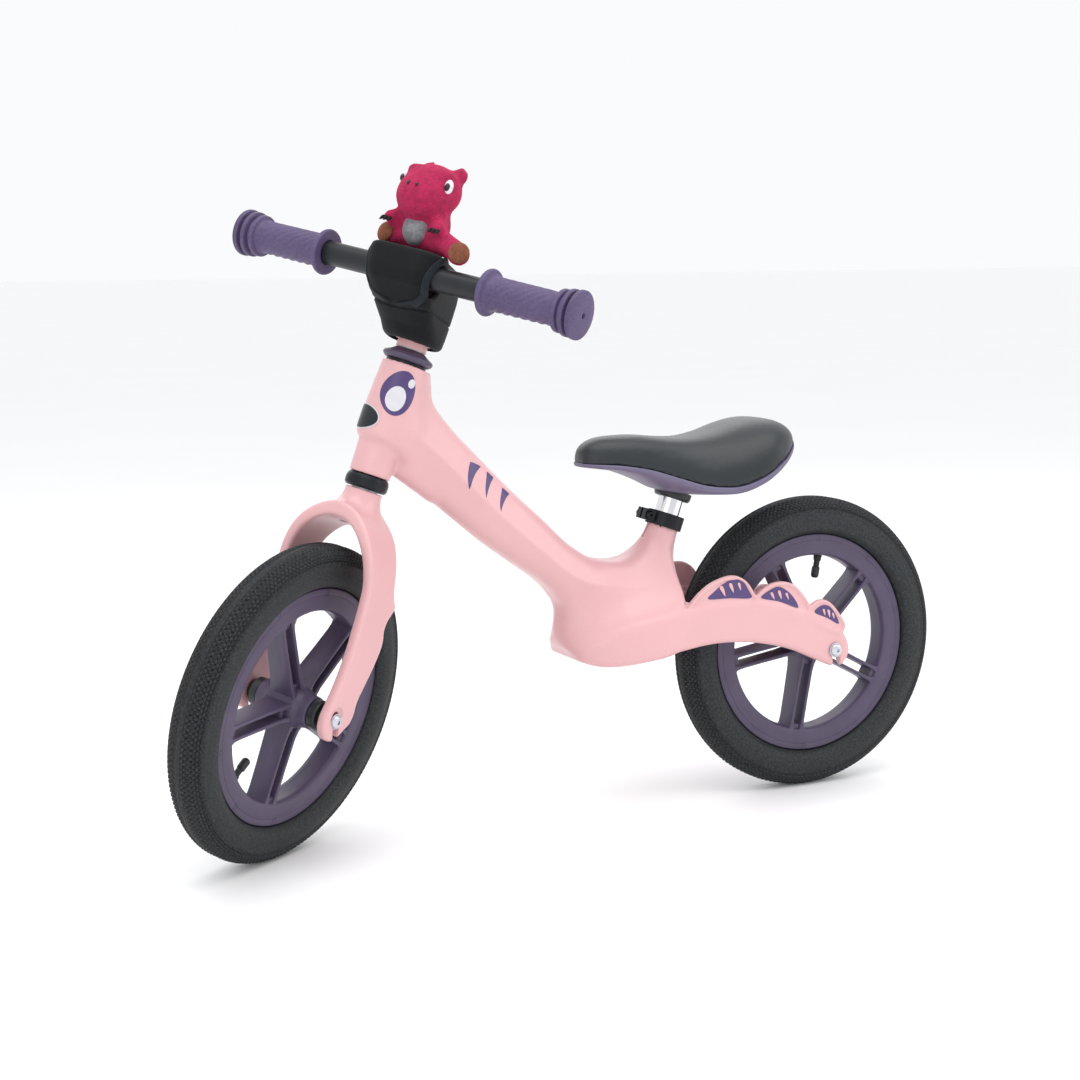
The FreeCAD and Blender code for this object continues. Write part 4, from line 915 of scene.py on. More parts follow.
# Side outline of one rear stay, without its humps, and of the belly in front of it.
STAY_EDGE = [(-2, 166), (-7, 178), (-30, 190), (-48, 197.5), (-83, 204), (-110, 209), (-138, 213),
             (-166, 213), (-194, 211), (-223, 205), (-252, 195), (-276, 184), (-291, 174), (-300, 161),
             (-303, 149), (-298, 138), (-289, 133.5), (-277, 136), (-252, 147.5), (-224, 159.5),
             (-182, 169), (-140, 171.5), (-96, 166.5), (-62, 161.5), (-28, 159), (-9, 162)]
BELLY_EDGE = [(6, 176), (10, 190), (10, 207), (8, 226), (-10, 246), (-60, 250), (-100, 262), (-113, 236),
              (-110, 205), (-98, 168), (-62, 160), (-28, 158), (-8, 163)]
HUMPS = [
    [(-108, 200), (-113, 214), (-130, 229), (-147, 236.5), (-163, 238.5), (-176, 232.5), (-185, 221),
     (-192, 205), (-150, 196)],
    [(-184, 204), (-189, 216), (-203, 225.5), (-219, 227.8), (-233, 223.5), (-245, 212), (-253, 199),
     (-254, 188), (-216, 192)],
    [(-245, 190), (-253, 200), (-265, 205.5), (-277, 201.5), (-288.5, 189), (-296, 176), (-288, 168),
     (-262, 178)]]

STAY_LOOP = smooth_line(STAY_EDGE, closed=True, per_span=5)
BELLY_LOOP = smooth_line(BELLY_EDGE, closed=True, per_span=5)
HUMP_LOOPS = [smooth_line(points, closed=True, per_span=6) for points in HUMPS]
BEAM_LOOP = np.concatenate([
    smooth_line(UPPER_EDGE, per_span=5), [(-122, 286), (-108, 228), (-92, 200), (-40, 190), (0, 200)],
    smooth_line(LOWER_EDGE, per_span=5), [(182, 372), (170, 432)]])
CREASE_LINE = smooth_line([(x, z, w) for (x, z), w in zip(CREASE, CREASE_HALF_WIDTH)], per_span=4)


def plan_half_width(x):
    """Half width of the belly from its nose back to where it is as wide as the stays."""
    back = np.clip((14 - x) / 104, 0, 1)
    return STAY_OUTER * np.sqrt(1 - (1 - back) ** 2.3)


def axial(x, y, z, origin, way):
    """Height along an axis and distance from it."""
    dx, dz = x - origin[0], z - origin[2]
    level = dx * way[0] + dz * way[2]
    across = dx * way[2] - dz * way[0]
    return level, np.sqrt(across ** 2 + y ** 2), across


HEAD_ORIGIN = np.array(FOOT) / MM
HEAD_WAY = np.array(AXIS)
HEAD_FOOT, HEAD_TOP = 217, 323


def head_field(x, y, z):
    level, reach, _ = axial(x, y, z, HEAD_ORIGIN, HEAD_WAY)
    cone = np.interp(level, (246, 262, 278, HEAD_TOP), (24.0, 24.6, 24.4, 21.9))
    upper = smooth_max(reach - cone, 249 - level, 7)
    upper = np.maximum(upper, level - HEAD_TOP)
    column = np.interp(level, (HEAD_FOOT, 250, 262), (19.2, 19.8, 20.0))
    lower = np.maximum(np.maximum(reach - column, HEAD_FOOT - level), level - 300)
    return upper, lower, level, reach


def beam_field(x, y, z):
    """The main beam: a rounded lozenge whose side crease runs from the head to the seat tube."""
    edge = outline_distance(x, z, BEAM_LOOP)
    away, widest = along_line(x, z, CREASE_LINE[:, :2], CREASE_LINE[:, 2])
    crease_level = np.interp(x, CREASE_LINE[::-1, 0], CREASE_LINE[::-1, 1])
    width = widest - np.where(z > crease_level, 0.42, 0.40) * away
    side = (y - width) * 0.92
    return smooth_max(side, edge, 15)


def stay_field(x, y, z):
    edge = outline_distance(x, z, STAY_LOOP)
    taper = 0.00012 * np.minimum(x + 150, 0) ** 2
    outer = y - np.minimum(plan_half_width(x), STAY_OUTER - taper)
    return smooth_max(edge, outer, 7)


def belly_field(x, y, z):
    """The belly and the shoulders that slope up from the stays to the beam."""
    edge = outline_distance(x, z, BELLY_LOOP)
    outer = y - plan_half_width(x) + 0.6
    crease = np.interp(x, (-110, -83, -48, -30, -7, 12), (208, 203.5, 197, 189, 178, 170))
    slope = (z - crease) * 0.62 + (y - plan_half_width(x)) * 0.78 - 1.0
    return smooth_max(smooth_max(edge, outer, 10), slope, 9)


def hump_fields(x, y, z):
    """Spike plates that stand on the stays, each with a raised rim round a sunken face."""
    plates = 1e3
    for loop in HUMP_LOOPS:
        edge = outline_distance(x, z, loop)
        plate = smooth_max(smooth_max(edge, y - (STAY_OUTER - 1.6), 2.2), 49.5 - y, 2.5)
        sunk = np.maximum(edge + 3.4, (STAY_OUTER - 2.9) - y)
        plate = smooth_max(plate, -sunk, 0.8)
        plates = np.minimum(plates, plate)
    return plates


SLOT_WIDTH, RECESS_RADIUS, RECESS_DEPTH = 8.6, 8.4, 1.6


def dropout_slot(x, y, z, centre, way_out, outer):
    """Everything that is cut away round an axle end: slot, open mouth and washer recess."""
    dx, dz = x - centre[0], z - centre[2]
    along = dx * way_out[0] + dz * way_out[1]
    across = dx * way_out[1] - dz * way_out[0]
    away = np.sqrt(dx ** 2 + dz ** 2)
    slot = np.minimum(away - SLOT_WIDTH / 2, np.maximum(np.abs(across) - SLOT_WIDTH / 2, -along))
    recess = np.maximum(away - RECESS_RADIUS, outer - RECESS_DEPTH - y)
    return smooth_min(slot, recess, 0.6)


# Web under the foot of the head tube: both ends in the middle plane, then the radii at them.
HEAD_WEB = ((166, 0, 359), (136, 0, 337), 9, 9)


def frame_field(x, y, z):
    upper, column, level, reach = head_field(x, y, z)
    beam = beam_field(x, y, z)
    seat_level, seat_reach, seat_across = axial(x, y, z, SEAT_SPOT, SEAT_WAY)
    tube = np.interp(seat_level, (-80, -40, 0), (18.4, 16.6, 15.5))
    seat = np.maximum(seat_reach - tube, seat_level)
    seat = np.maximum(seat, -84 - seat_level)
    body = smooth_min(upper, beam, 22)
    body = smooth_min(body, seat, 16)
    belly = smooth_min(belly_field(x, y, z), stay_field(x, y, z), 4)
    body = smooth_min(body, belly, 20)
    body = smooth_min(body, column, 4)
    body = smooth_min(body, capsule(x, y, z, *HEAD_WEB), 8)
    body = smooth_min(body, hump_fields(x, y, z), 2.4)
    hub = np.array((REAR_X, 0, WHEEL_RADIUS))
    from_hub = np.sqrt((x - hub[0]) ** 2 + (z - hub[2]) ** 2)
    gap = smooth_max(from_hub - WHEEL_GAP, y - STAY_INNER, 14)
    body = smooth_max(body, -gap, 5)
    pocket = outline_distance(x, z, STAY_LOOP) + 7
    pocket = smooth_max(smooth_max(pocket, y - (STAY_INNER + 5.5), 2.5), x + 128, 3)
    pocket = np.maximum(pocket, 16 - from_hub)
    body = smooth_max(body, -pocket, 2)
    slot = dropout_slot(x, y, z, hub, (-0.2, -0.98), STAY_OUTER)
    body = smooth_max(body, -slot, 1.2)
    bore = np.maximum(reach - 15.2, 200 - level)
    post = np.maximum(seat_reach - 13.1, -102 - seat_level)
    slit = np.maximum(np.maximum(y - 1.3, -17 - seat_level), np.abs(seat_across - 12) - 12)
    body = np.maximum(np.maximum(np.maximum(body, -bore), -post), -slit)
    ends = np.maximum(level - HEAD_TOP, HEAD_FOOT - level)
    return np.where(reach < 30, np.maximum(body, ends), body)


def make_frame():
    shape = field_mesh(frame_field, (-308, 0, 130), (216, 60.5, 464), 1.75)
    piece("cast_frame", shape, "pink_paint", "frame", stands_for=["frame"], smooth=ALL_SMOOTH)


# ---------------------------------------------------------------- cast fork

LEG_OUTER, LEG_INNER = 54, 44
FORK_EDGE = [(27, 200), (31, 178), (31.5, 158), (27, 135), (21.5, 112), (17.8, 80), (16.6, 50), (18.5, 26),
             (22, 8), (24, -4), (21.5, -15), (14, -22.5), (4, -24.5), (-4, -21), (-11.5, -13), (-18.5, -5.5),
             (-20.5, 4), (-19.5, 16), (-23, 31), (-27.8, 50), (-30, 66), (-29, 76), (-25.5, 85), (-26, 94),
             (-30.5, 103), (-31.5, 109), (-24.5, 117), (-20.5, 128), (-20, 145), (-21, 165), (-22, 185),
             (-22, 200)]
FORK_LOOP = smooth_line(FORK_EDGE, closed=True, per_span=5)
ARCH_SPRING = 112


def arch_field(y, s, half, top):
    """An arch: straight legs under half an ellipse; negative inside."""
    rise = top - ARCH_SPRING
    oval = np.sqrt((y / half) ** 2 + (np.maximum(s - ARCH_SPRING, 0) / rise) ** 2)
    return (oval - 1) * np.minimum(half, rise)


def fork_field(x, y, z):
    """The fork in its own frame: x forward, z up the steering axis."""
    side = outline_distance(x, z, FORK_LOOP)
    crown_back = np.clip((x + 4) / 26, -1, 1)
    outer = arch_field(y, z, LEG_OUTER + 0.2 * crown_back, 186)
    inner = arch_field(y, z, LEG_INNER, 172)
    body = smooth_max(smooth_max(side, outer, 4.5), -inner, 4.5)
    reach = np.sqrt(x ** 2 + y ** 2)
    neck = np.maximum(reach - np.interp(z, (180, 202), (17.9, 17.3)), 176 - z)
    body = smooth_min(body, neck, 13)
    body = np.maximum(body, z - 202)
    spot = np.array((8.2, 0, -0.5))
    slot = dropout_slot(x, y, z, spot, (-0.42, -0.907), LEG_OUTER)
    body = smooth_max(body, -slot, 1.2)
    core = np.maximum(reach - 12.9, 168 - z)
    return np.maximum(body, -core)


def make_fork():
    shape = field_mesh(fork_field, (-35, 0, -27), (35, 57, 204), 1.4)
    piece("cast_fork", shape, "pink_paint", "steering", STEERED, stands_for=["fork"], smooth=ALL_SMOOTH)


# ---------------------------------------------------------------- decals on the frame

def surface_y(x, z, reach=60.0):
    """How far out the frame's side lies at (x, z), found by walking in from outside."""
    steps = np.linspace(reach, 4, 90)
    outside = np.full(x.shape, reach)
    found = np.zeros(x.shape, bool)
    inside = np.full(x.shape, 4.0)
    for step in steps:
        hit = (frame_field(x, np.full(x.shape, step), z) < 0) & ~found
        inside = np.where(hit, step, inside)
        found |= hit
        outside = np.where(found, outside, step)
    return halve_to_skin(lambda y: frame_field(x, y, z) < 0, inside, outside, 8)


def decal(loop, proud=0.25, rings=9):
    """A thin closed film over both sides of the frame inside an outline of (x, z) points."""
    loop = np.array(loop, float)
    centre = loop.mean(axis=0)
    grid = [centre + (loop - centre) * share for share in np.linspace(0.02, 1, rings)]
    flat = np.concatenate(grid)
    small = 0.4
    y = surface_y(flat[:, 0], flat[:, 1])
    slope_x = (surface_y(flat[:, 0] + small, flat[:, 1]) - y) / small
    slope_z = (surface_y(flat[:, 0], flat[:, 1] + small) - y) / small
    normal = np.stack([-slope_x, np.ones_like(y), -slope_z], axis=1)
    normal /= np.linalg.norm(normal, axis=1)[:, None]
    skin = np.stack([flat[:, 0], y, flat[:, 1]], axis=1)
    columns = len(loop)
    both = Shell()
    for side in (1, -1):
        top = (skin + normal * proud) * (1, side, 1)
        under = (skin - normal * 0.5) * (1, side, 1)
        rows = [top[k * columns:(k + 1) * columns] for k in range(rings)]
        rows.append(under[(rings - 1) * columns:])
        points, faces = loft(rows)
        both.add((points, faces if side > 0 else [face[::-1] for face in faces]))
    return both.shape()


def oval(centre, wide, tall, lean, count=48):
    angles = np.linspace(0, 2 * math.pi, count, endpoint=False)
    c, s = math.cos(math.radians(lean)), math.sin(math.radians(lean))
    x, z = wide * np.cos(angles), tall * np.sin(angles)
    return np.stack([centre[0] + c * x - s * z, centre[1] + s * x + c * z], axis=1)


def spike(points, per_side=10):
    """Outline of a claw mark: a short top, a hollow rear side and a bowed front side."""
    points = np.array(points, float)
    middle = points.mean(axis=0)
    result = []
    for a, b, swing in zip(points, np.roll(points, -1, axis=0), (0.1, -1.1, 1.2)):
        bow = (a + b) / 2 + ((a + b) / 2 - middle) * swing
        for t in np.linspace(0, 1, per_side, endpoint=False):
            result.append((1 - t) ** 2 * a + 2 * t * (1 - t) * bow + t * t * b)
    return np.array(result)


# Claw stripes on the beam: two corners at the top of each, then its tip.
STRIPES = [[(102.6, 362.8), (90.9, 357.3), (107.4, 337.9)], [(84.3, 352.1), (77.7, 345.9), (90, 328.8)],
           [(69.5, 336.2), (62.3, 329.7), (75.6, 315.1)]]
# Film panels on the humps: the outline of each, then the top and tip of its claw marks.
PANELS = [
    ([(-133, 217.5), (-139, 224), (-151, 232), (-163, 235), (-173, 231), (-179.5, 222), (-181.5, 214.5),
      (-157, 216.5)],
     [((-146, 230), (-153, 219.5)), ((-156.9, 231.9), (-162.5, 222)), ((-167, 231.5), (-170.5, 223.5))]),
    ([(-194, 213.5), (-203, 220), (-214, 223), (-224, 218.5), (-233.5, 209), (-237, 199.5), (-215, 208)],
     [((-205, 218.5), (-210, 211)), ((-214, 219.7), (-218.5, 210.5)), ((-222.8, 216.5), (-226.8, 209.5))]),
    ([(-258, 193), (-265, 199), (-274, 198.5), (-281.5, 191.5), (-287.5, 178.5), (-273, 186)],
     [((-268, 196), (-271, 189)), ((-273.8, 194.8), (-277, 186.5)), ((-279.3, 191), (-282.2, 184.5))])]


def claw_slit(top, tip):
    """A tapered mark, round and wide at the top, bending to a point."""
    top, tip = np.array(top), np.array(tip)
    way = (tip - top) / np.linalg.norm(tip - top)
    side = np.array((-way[1], way[0]))
    length = np.linalg.norm(tip - top)
    result = []
    for sign, shares in ((1, np.linspace(0, 1, 8)), (-1, np.linspace(1, 0, 8)[1:-1])):
        for share in shares:
            half = 0.272 * length * max(share, 0.001) ** 0.25 * (1 - share) ** 0.8
            bend = side * 0.10 * length * share * share
            result.append(top + way * length * share + bend + side * sign * half)
    return np.array(result)


def make_decals():
    violet, pale = Shell(), Shell()
    eye = oval((174.8, 430), 14.2, 21.3, 26)
    for shape, proud, target in (
            (eye, 0.25, violet), (oval((178.3, 425.2), 8.4, 11.8, 26), 0.5, pale),
            (oval((162.8, 438.0), 3.3, 4.3, 26), 0.5, pale)):
        target.add(decal(shape, proud))
    for corners in STRIPES:
        violet.add(decal(spike(corners)))
    piece("frame_violet_decals", violet.shape(), "violet_film", "frame", smooth=60)
    piece("frame_white_decals", pale.shape(), "white_film", "frame", smooth=60)
    panels, slits = Shell(), Shell()
    for outline, marks in PANELS:
        panels.add(decal(smooth_line(outline, closed=True, per_span=5), 0.4, rings=7))
        for top, tip in marks:
            slits.add(decal(claw_slit(top, tip), 0.9, rings=4))
    piece("spike_panels", panels.shape(), "violet_film", "frame", smooth=60)
    piece("spike_claw_marks", slits.shape(), "pink_paint", "frame", smooth=60)


HEAD_RADIUS = 24.0
PLATE_POINTS = 48


def head_patch(wide, tall, centre_level, proud, rings=7, count=PLATE_POINTS):
    """A closed oval plate wrapped round the front of the head, wide and tall in mm."""
    angles = np.linspace(0, 2 * math.pi, count, endpoint=False)
    shares = np.linspace(0.02, 1, rings)[:, None]
    turns = (shares * wide * np.cos(angles) / HEAD_RADIUS).ravel()
    levels = (centre_level + shares * tall * np.sin(angles)).ravel()
    outside = halve_to_skin(lambda reach: frame_field(*head_point(reach, turns, levels)) < 0,
                            np.full(turns.shape, 15.0), np.full(turns.shape, 32.0), 14)
    top = np.stack(head_point(outside + proud, turns, levels), axis=1)
    under = np.stack(head_point(outside - 0.6, turns, levels), axis=1)
    rows = [top[k * count:(k + 1) * count] for k in range(rings)]
    return loft(rows + [under[(rings - 1) * count:]])


def head_point(reach, around, level):
    """A point at a distance from the steering axis, turned around it from straight ahead."""
    ahead, side = reach * np.cos(around), np.abs(reach * np.sin(around))
    across = np.array((HEAD_WAY[2], -HEAD_WAY[0]))
    x = HEAD_ORIGIN[0] + level * HEAD_WAY[0] + ahead * across[0]
    z = HEAD_ORIGIN[2] + level * HEAD_WAY[2] + ahead * across[1]
    return x, side, z


def make_badge():
    """A blank name plate with a pale rim."""
    for name, shape, finish in (("name_plate_rim", (21.5, 12.2, 266.5, 0.45), "white_film"),
                                ("name_plate", (20.2, 11.0, 266.5, 0.85), "badge_plate")):
        points, faces = head_patch(*shape)
        points = np.array(points)
        sides = np.sign(np.cos(np.linspace(0, 2 * math.pi, PLATE_POINTS, endpoint=False)))
        points[:, 1] *= np.tile(np.where(sides == 0, 1, sides), len(points) // PLATE_POINTS)
        piece(name, (points, faces), finish, "frame",
              stands_for=["head_badge"] if name == "name_plate" else [], smooth=60)


# ---------------------------------------------------------------- padded pieces

def swell(thing, voxel, cap, pressure, frames=20):
    """Blows a padded piece up a little as cloth, keeping every point within cap of its start."""
    remesh = thing.modifiers.new("remesh", "REMESH")
    remesh.mode = "VOXEL"
    remesh.voxel_size = voxel * MM
    apply_modifiers(thing)
    rest = read_points(thing)
    cloth = thing.modifiers.new("cloth", "CLOTH")
    cloth.settings.use_pressure = True
    cloth.settings.uniform_pressure_force = pressure
    cloth.settings.effector_weights.gravity = 0
    cloth.settings.quality = 6
    scene = bpy.context.scene
    for step in range(1, frames + 1):
        scene.frame_set(step)
        bpy.context.view_layer.update()
    apply_modifiers(thing)
    scene.frame_set(1)
    moved = read_points(thing)
    shift_by = moved - rest
    length = np.linalg.norm(shift_by, axis=1)[:, None]
    capped = rest + shift_by * np.minimum(1, cap * MM / np.maximum(length, 1e-9))
    thing.data.vertices.foreach_set("co", capped.ravel())
    thing.data.update()
    finer = thing.modifiers.new("finer", "SUBSURF")
    finer.levels = finer.render_levels = 1
    apply_modifiers(thing)
    thing.data.shade_smooth()
    return thing


def read_points(thing):
    points = np.zeros(len(thing.data.vertices) * 3)
    thing.data.vertices.foreach_get("co", points)
    return points.reshape(-1, 3)


def apply_modifiers(thing):
    """Keeps what the modifiers make of a mesh as its own points."""
    graph = bpy.context.evaluated_depsgraph_get()
    graph.update()
    mesh = bpy.data.meshes.new_from_object(thing.evaluated_get(graph))
    old = thing.data
    materials = list(old.materials)
    thing.modifiers.clear()
    thing.data = mesh
    if not mesh.materials:
        for material in materials:
            mesh.materials.append(material)
    bpy.data.meshes.remove(old)


# Saddle stations: x, half width, top of the cushion, lower edge of the purple pan.
SADDLE = [(-18.5, 3, 362, 350.5), (-20, 12, 367, 350), (-26, 19, 372.5, 349.5), (-38, 25.5, 377, 348.5),
          (-55, 31, 378.2, 346.5), (-80, 37, 377.5, 341), (-108, 46, 374.5, 331), (-135, 57.5, 373.5, 322.5),
          (-163, 67.5, 377.5, 321.5), (-190, 72, 385, 331), (-212, 69, 389.5, 345), (-230, 56, 388, 357),
          (-240, 40, 382.5, 365), (-245, 22, 377, 368.5), (-246.5, 4, 373.5, 369.5)]


def saddle_stations(count=64):
    """Smooth stations along the saddle, closer together at its two ends."""
    line = smooth_line(SADDLE, per_span=10)
    way = np.concatenate([[0], np.cumsum(np.linalg.norm(np.diff(line[:, :2], axis=0), axis=1))])
    shares = (1 - np.cos(np.linspace(0, math.pi, count))) / 2
    places = way[-1] * (0.35 * shares + 0.65 * np.linspace(0, 1, count))
    return np.stack([np.interp(places, way, line[:, k]) for k in range(4)], axis=1)


def cushion_ring(x, half, top, edge, sink=0.0, count=40):
    """Crowned section of the saddle cushion over a flat underside."""
    base = edge + lip_height(x) - 0.8
    half, rise = half - 0.4 - sink, max(top - base - sink, 1.0)
    ring = []
    for angle in np.linspace(0, math.pi, count):
        across = math.copysign(abs(math.cos(angle)) ** 0.72, math.cos(angle))
        up = math.sin(angle) ** 0.86
        ring.append((x, half * across, base + rise * up))
    for share in np.linspace(-1, 1, 14)[1:-1]:
        ring.append((x, half * share, base))
    return ring


def lip_height(x):
    """Height of the pan's purple edge, tallest over the post."""
    return float(np.interp(x, (-247, -230, -190, -150, -100, -60, -18), (3.2, 4.4, 6, 6.6, 6, 4.4, 3.2)))


def pan_ring(x, half, edge, count=36):
    """Section of the pan: an edge that rolls over to a keel, deepest round the post."""
    lip = lip_height(x)
    keel = float(np.interp(x, (-247, -225, -190, -150, -125, -105, -80, -55, -18),
                           (0.3, 0.6, 1, 3, 7, 10, 7, 3, 0.5)))
    keel = min(keel, 0.35 * half)
    ring = [(x, half - 0.8, edge + lip), (x, half, edge + lip - 0.9), (x, half + 0.2, edge + 0.5 * lip),
            (x, half - 0.4, edge + 0.9)]
    for angle in np.linspace(0.14, math.pi - 0.14, count):
        across = math.copysign(abs(math.cos(angle)) ** 0.9, math.cos(angle))
        ring.append((x, (half - 1.4) * across, edge - keel * math.sin(angle) ** 1.4))
    ring += [(x, -half + 0.4, edge + 0.9), (x, -half - 0.2, edge + 0.5 * lip),
             (x, -half, edge + lip - 0.9), (x, -half + 0.8, edge + lip)]
    return ring


def make_saddle():
    stations = saddle_stations()
    cushion = piece("saddle_cushion", loft([cushion_ring(*row, sink=0.9) for row in stations]),
                    "saddle_leather", "saddle", stands_for=["saddle_cover"])
    swell(cushion, 2.8, 1.3, pressure=2.0)
    pan = loft([pan_ring(x, half, edge) for x, half, _, edge in stations])
    piece("saddle_pan", pan, "saddle_plastic", "saddle", stands_for=["saddle_base"],
          smooth=50)
    boss = lathe(rounded([(12.75, 28.5, 0.3), (17, 28.5, 1), (18.6, 31, 1), (18.8, 37, 0.5),
                          (12.75, 37, 0.3)], 0.5), 72)
    piece("saddle_boss", boss, "black_plastic", "saddle", SEAT_CLAMP, stands_for=["saddle_post_collar"])


# ---------------------------------------------------------------- bar pad

PAD_LOW, PAD_HIGH, PAD_WALL = 343.5, 420.5, 4.2
HOLE_X, HOLE_Z = 45.0, 399.0


def pad_outer(x, y, z):
    """The pad without its hollow: round at the foot, flat-fronted and tapering backwards at the bar."""
    front = np.interp(z, (343, 356, 372, 388, 400, 421), (29, 36, 52, 65, 68, 67))
    rear = np.interp(z, (343, 360, 400, 421), (-28, -30, -29, -24))
    half_front = np.interp(z, (343, 356, 372, 392, 408, 421), (27, 29.5, 32, 34.5, 37, 37.5))
    half_rear = np.interp(z, (343, 360, 392, 421), (26, 22.5, 18, 14))
    share = np.clip((x - rear) / (front - rear), 0, 1)
    half = half_rear + (half_front - half_rear) * np.minimum(1.2 * share, 1)
    soft = np.interp(z, (343, 366, 392), (32, 24, 14))
    return smooth_max((y - half) * 0.94, smooth_max(x - front, rear - x, 8), soft)


def pad_seam(y):
    return 368 + 0.004 * y * y


def pad_field(x, y, z):
    shell = pad_outer(x, y, z)
    outer = smooth_max(shell, smooth_max(z - PAD_HIGH, PAD_LOW - z, 2), 6)
    inner = smooth_max(shell + PAD_WALL, z - PAD_HIGH + PAD_WALL, 5)
    hole = np.sqrt(((x - HOLE_X) / 15.0) ** 2 + ((z - HOLE_Z) / 17.0) ** 2)
    hole = np.maximum((hole - 1) * 15.0, 18 - y)
    seam = np.sqrt((z - pad_seam(y)) ** 2 + np.minimum(shell + 0.2, 0) ** 2) - 1.0
    body = smooth_max(outer, -inner, 1.2)
    body = smooth_max(body, -hole, 1.5)
    body = smooth_max(body, -seam, 1.0)
    bar = np.sqrt((x - BAR_REACH) ** 2 + (z - BAR_LEVEL) ** 2) - 11.6
    return np.maximum(body, -bar)


def pad_side(x, z):
    """How far out the side of the pad lies at (x, z)."""
    return float(halve_to_skin(lambda y: pad_outer(x, y, z) < 0, 5.0, 50.0, 16))


TAPE_HALF_THICK, TAPE_HALF_WIDTH = 1.15, 3.6


def blunt(values):
    """Sines or cosines pushed outwards, which gives a section with blunt corners."""
    return np.sign(values) * np.abs(values) ** 0.7


def pad_bindings():
    """A flat tape bound round the front of each side opening and down to the seam."""
    whole = Shell()
    arc = [(HOLE_X + 16.6 * math.cos(a), HOLE_Z + 18.6 * math.sin(a))
           for a in np.linspace(math.radians(118), math.radians(-58), 34)]
    arc += [(HOLE_X + 7.5, 379), (HOLE_X + 6, 374), (HOLE_X + 5, 369.5)]
    for side in (1, -1):
        path = np.array([(x, side * (pad_side(x, z) + 0.1), z) for x, z in arc])
        along = np.gradient(path, axis=0)
        along /= np.linalg.norm(along, axis=1)[:, None]
        rings = []
        for point, way in zip(path, along):
            small = 0.5
            x, _, z = point
            slope_x = (pad_side(x + small, z) - pad_side(x - small, z)) / (2 * small)
            slope_z = (pad_side(x, z + small) - pad_side(x, z - small)) / (2 * small)
            normal = np.array((-slope_x, side, -slope_z))
            normal -= way * (normal @ way)
            normal /= np.linalg.norm(normal)
            across = np.cross(way, normal)
            angles = np.linspace(0, 2 * math.pi, 16, endpoint=False)
            rings.append(point + TAPE_HALF_THICK * np.outer(blunt(np.sin(angles)), normal)
                         + TAPE_HALF_WIDTH * np.outer(blunt(np.cos(angles)), across))
        whole.add(loft(rings))
    return whole.shape()


def stitches(path, length=2.6, gap=1.6, radius=0.32):
    """A row of short raised stitches along a path of points."""
    path = np.array(path, float)
    way = np.concatenate([[0], np.cumsum(np.linalg.norm(np.diff(path, axis=0), axis=1))])
    whole = Shell()
    for start in np.arange(0, way[-1] - length, length + gap):
        places = np.linspace(start, start + length, 5)
        line = np.stack([np.interp(places, way, path[:, k]) for k in range(3)], axis=1)
        whole.add(tube(line, radius * np.array((0.5, 1, 1.1, 1, 0.5)), steps=6))
    return whole


def pad_seams():
    """Stitches just under the seam of the lower band, on the front and the sides."""
    path = []
    for y in np.linspace(-26, 26, 45):
        z = pad_seam(y) - 2.4
        x = float(halve_to_skin(lambda ahead: pad_outer(ahead, abs(y), z) < 0, 0.0, 70.0, 16))
        path.append((x, y, z))
    return stitches(path).shape()


def make_pad():
    shape = field_mesh(pad_field, (-34, 0, 340), (74, 44, 424), 1.3)
    pad = piece("bar_pad_sleeve", shape, "neoprene", "steering", STEERED, stands_for=["bar_pad"],
                smooth=ALL_SMOOTH)
    piece("bar_pad_binding", pad_bindings(), "binding", "steering", STEERED)
    piece("bar_pad_stitching", pad_seams(), "binding", "steering", STEERED)


# ---------------------------------------------------------------- plush toy

TOY_Y = -5
# Limbs of the toy: start, end, start radius and end radius, left side first.
TOY_LEGS = [((36, 8, 437), (48, 48, 426.5), 13, 10.4), ((34, -18, 437), (38, -34, 431.5), 12, 10.4)]
TOY_ARMS = [((40, 12, 452), (54, 23, 443), 8.4, 6.8), ((38, -22, 452), (52, -32, 445), 8.0, 6.6)]


def toy_field(x, y, z):
    """Body, head, arms and legs of a sitting plush animal, in the frame of the steering."""
    u = y - TOY_Y
    head = ellipsoid(x, u, z, (40, 0, 479), (25, 28, 23.5))
    muzzle = ellipsoid(x, u, z, (54, -1, 467), (20, 23, 20))
    body = ellipsoid(x, u, z, (32, 1, 446.5), (21, 22, 26))
    whole = smooth_min(smooth_min(head, muzzle, 12), body, 5)
    for side in (1, -1):
        v = u * side
        whole = smooth_min(whole, ellipsoid(x, v, z, (30, 17, 499), (6.5, 8, 8)), 3)
        whole = smooth_min(whole, ellipsoid(x, v, z, (50, 15.5, 492), (10, 9.5, 5.5)), 3)
    for start, end, first, last in TOY_LEGS + TOY_ARMS:
        whole = smooth_min(whole, capsule(x, y, z, start, end, first, last), 3)
    whole = smooth_min(whole, capsule(x, u, z, (14, 0, 436), (2, 0, 431), 9.5, 6), 6)
    mouth = ellipsoid(x, u, z, (69, 0, 459), (9, 21, 1.5))
    whole = smooth_max(whole, -mouth, 3)
    bar = np.sqrt((x - BAR_REACH) ** 2 + (z - BAR_LEVEL) ** 2) - 12.6
    pad = np.maximum(np.maximum(z - 421.4, np.abs(y) - 39.5), np.maximum(x - 70, -30 - x))
    return smooth_max(np.maximum(whole, -bar), -pad, 4)


def blob(centre, radii, turns=(0, 0, 0), steps=20):
    """A smooth egg made of rings, leaning by turns in degrees."""
    rings = []
    for lean in np.linspace(0.02, math.pi - 0.02, steps):
        around = np.linspace(0, 2 * math.pi, 2 * steps, endpoint=False)
        rings.append(np.stack([radii[0] * math.sin(lean) * np.cos(around),
                               radii[1] * math.sin(lean) * np.sin(around),
                               np.full(around.shape, -radii[2] * math.cos(lean))], axis=1))
    points, faces = loft(rings)
    rotation = (turn(turns[2]) @ turn(turns[1], "Y") @ turn(turns[0], "X")).to_3x3()
    return points @ np.array(rotation).T + np.array(centre), faces


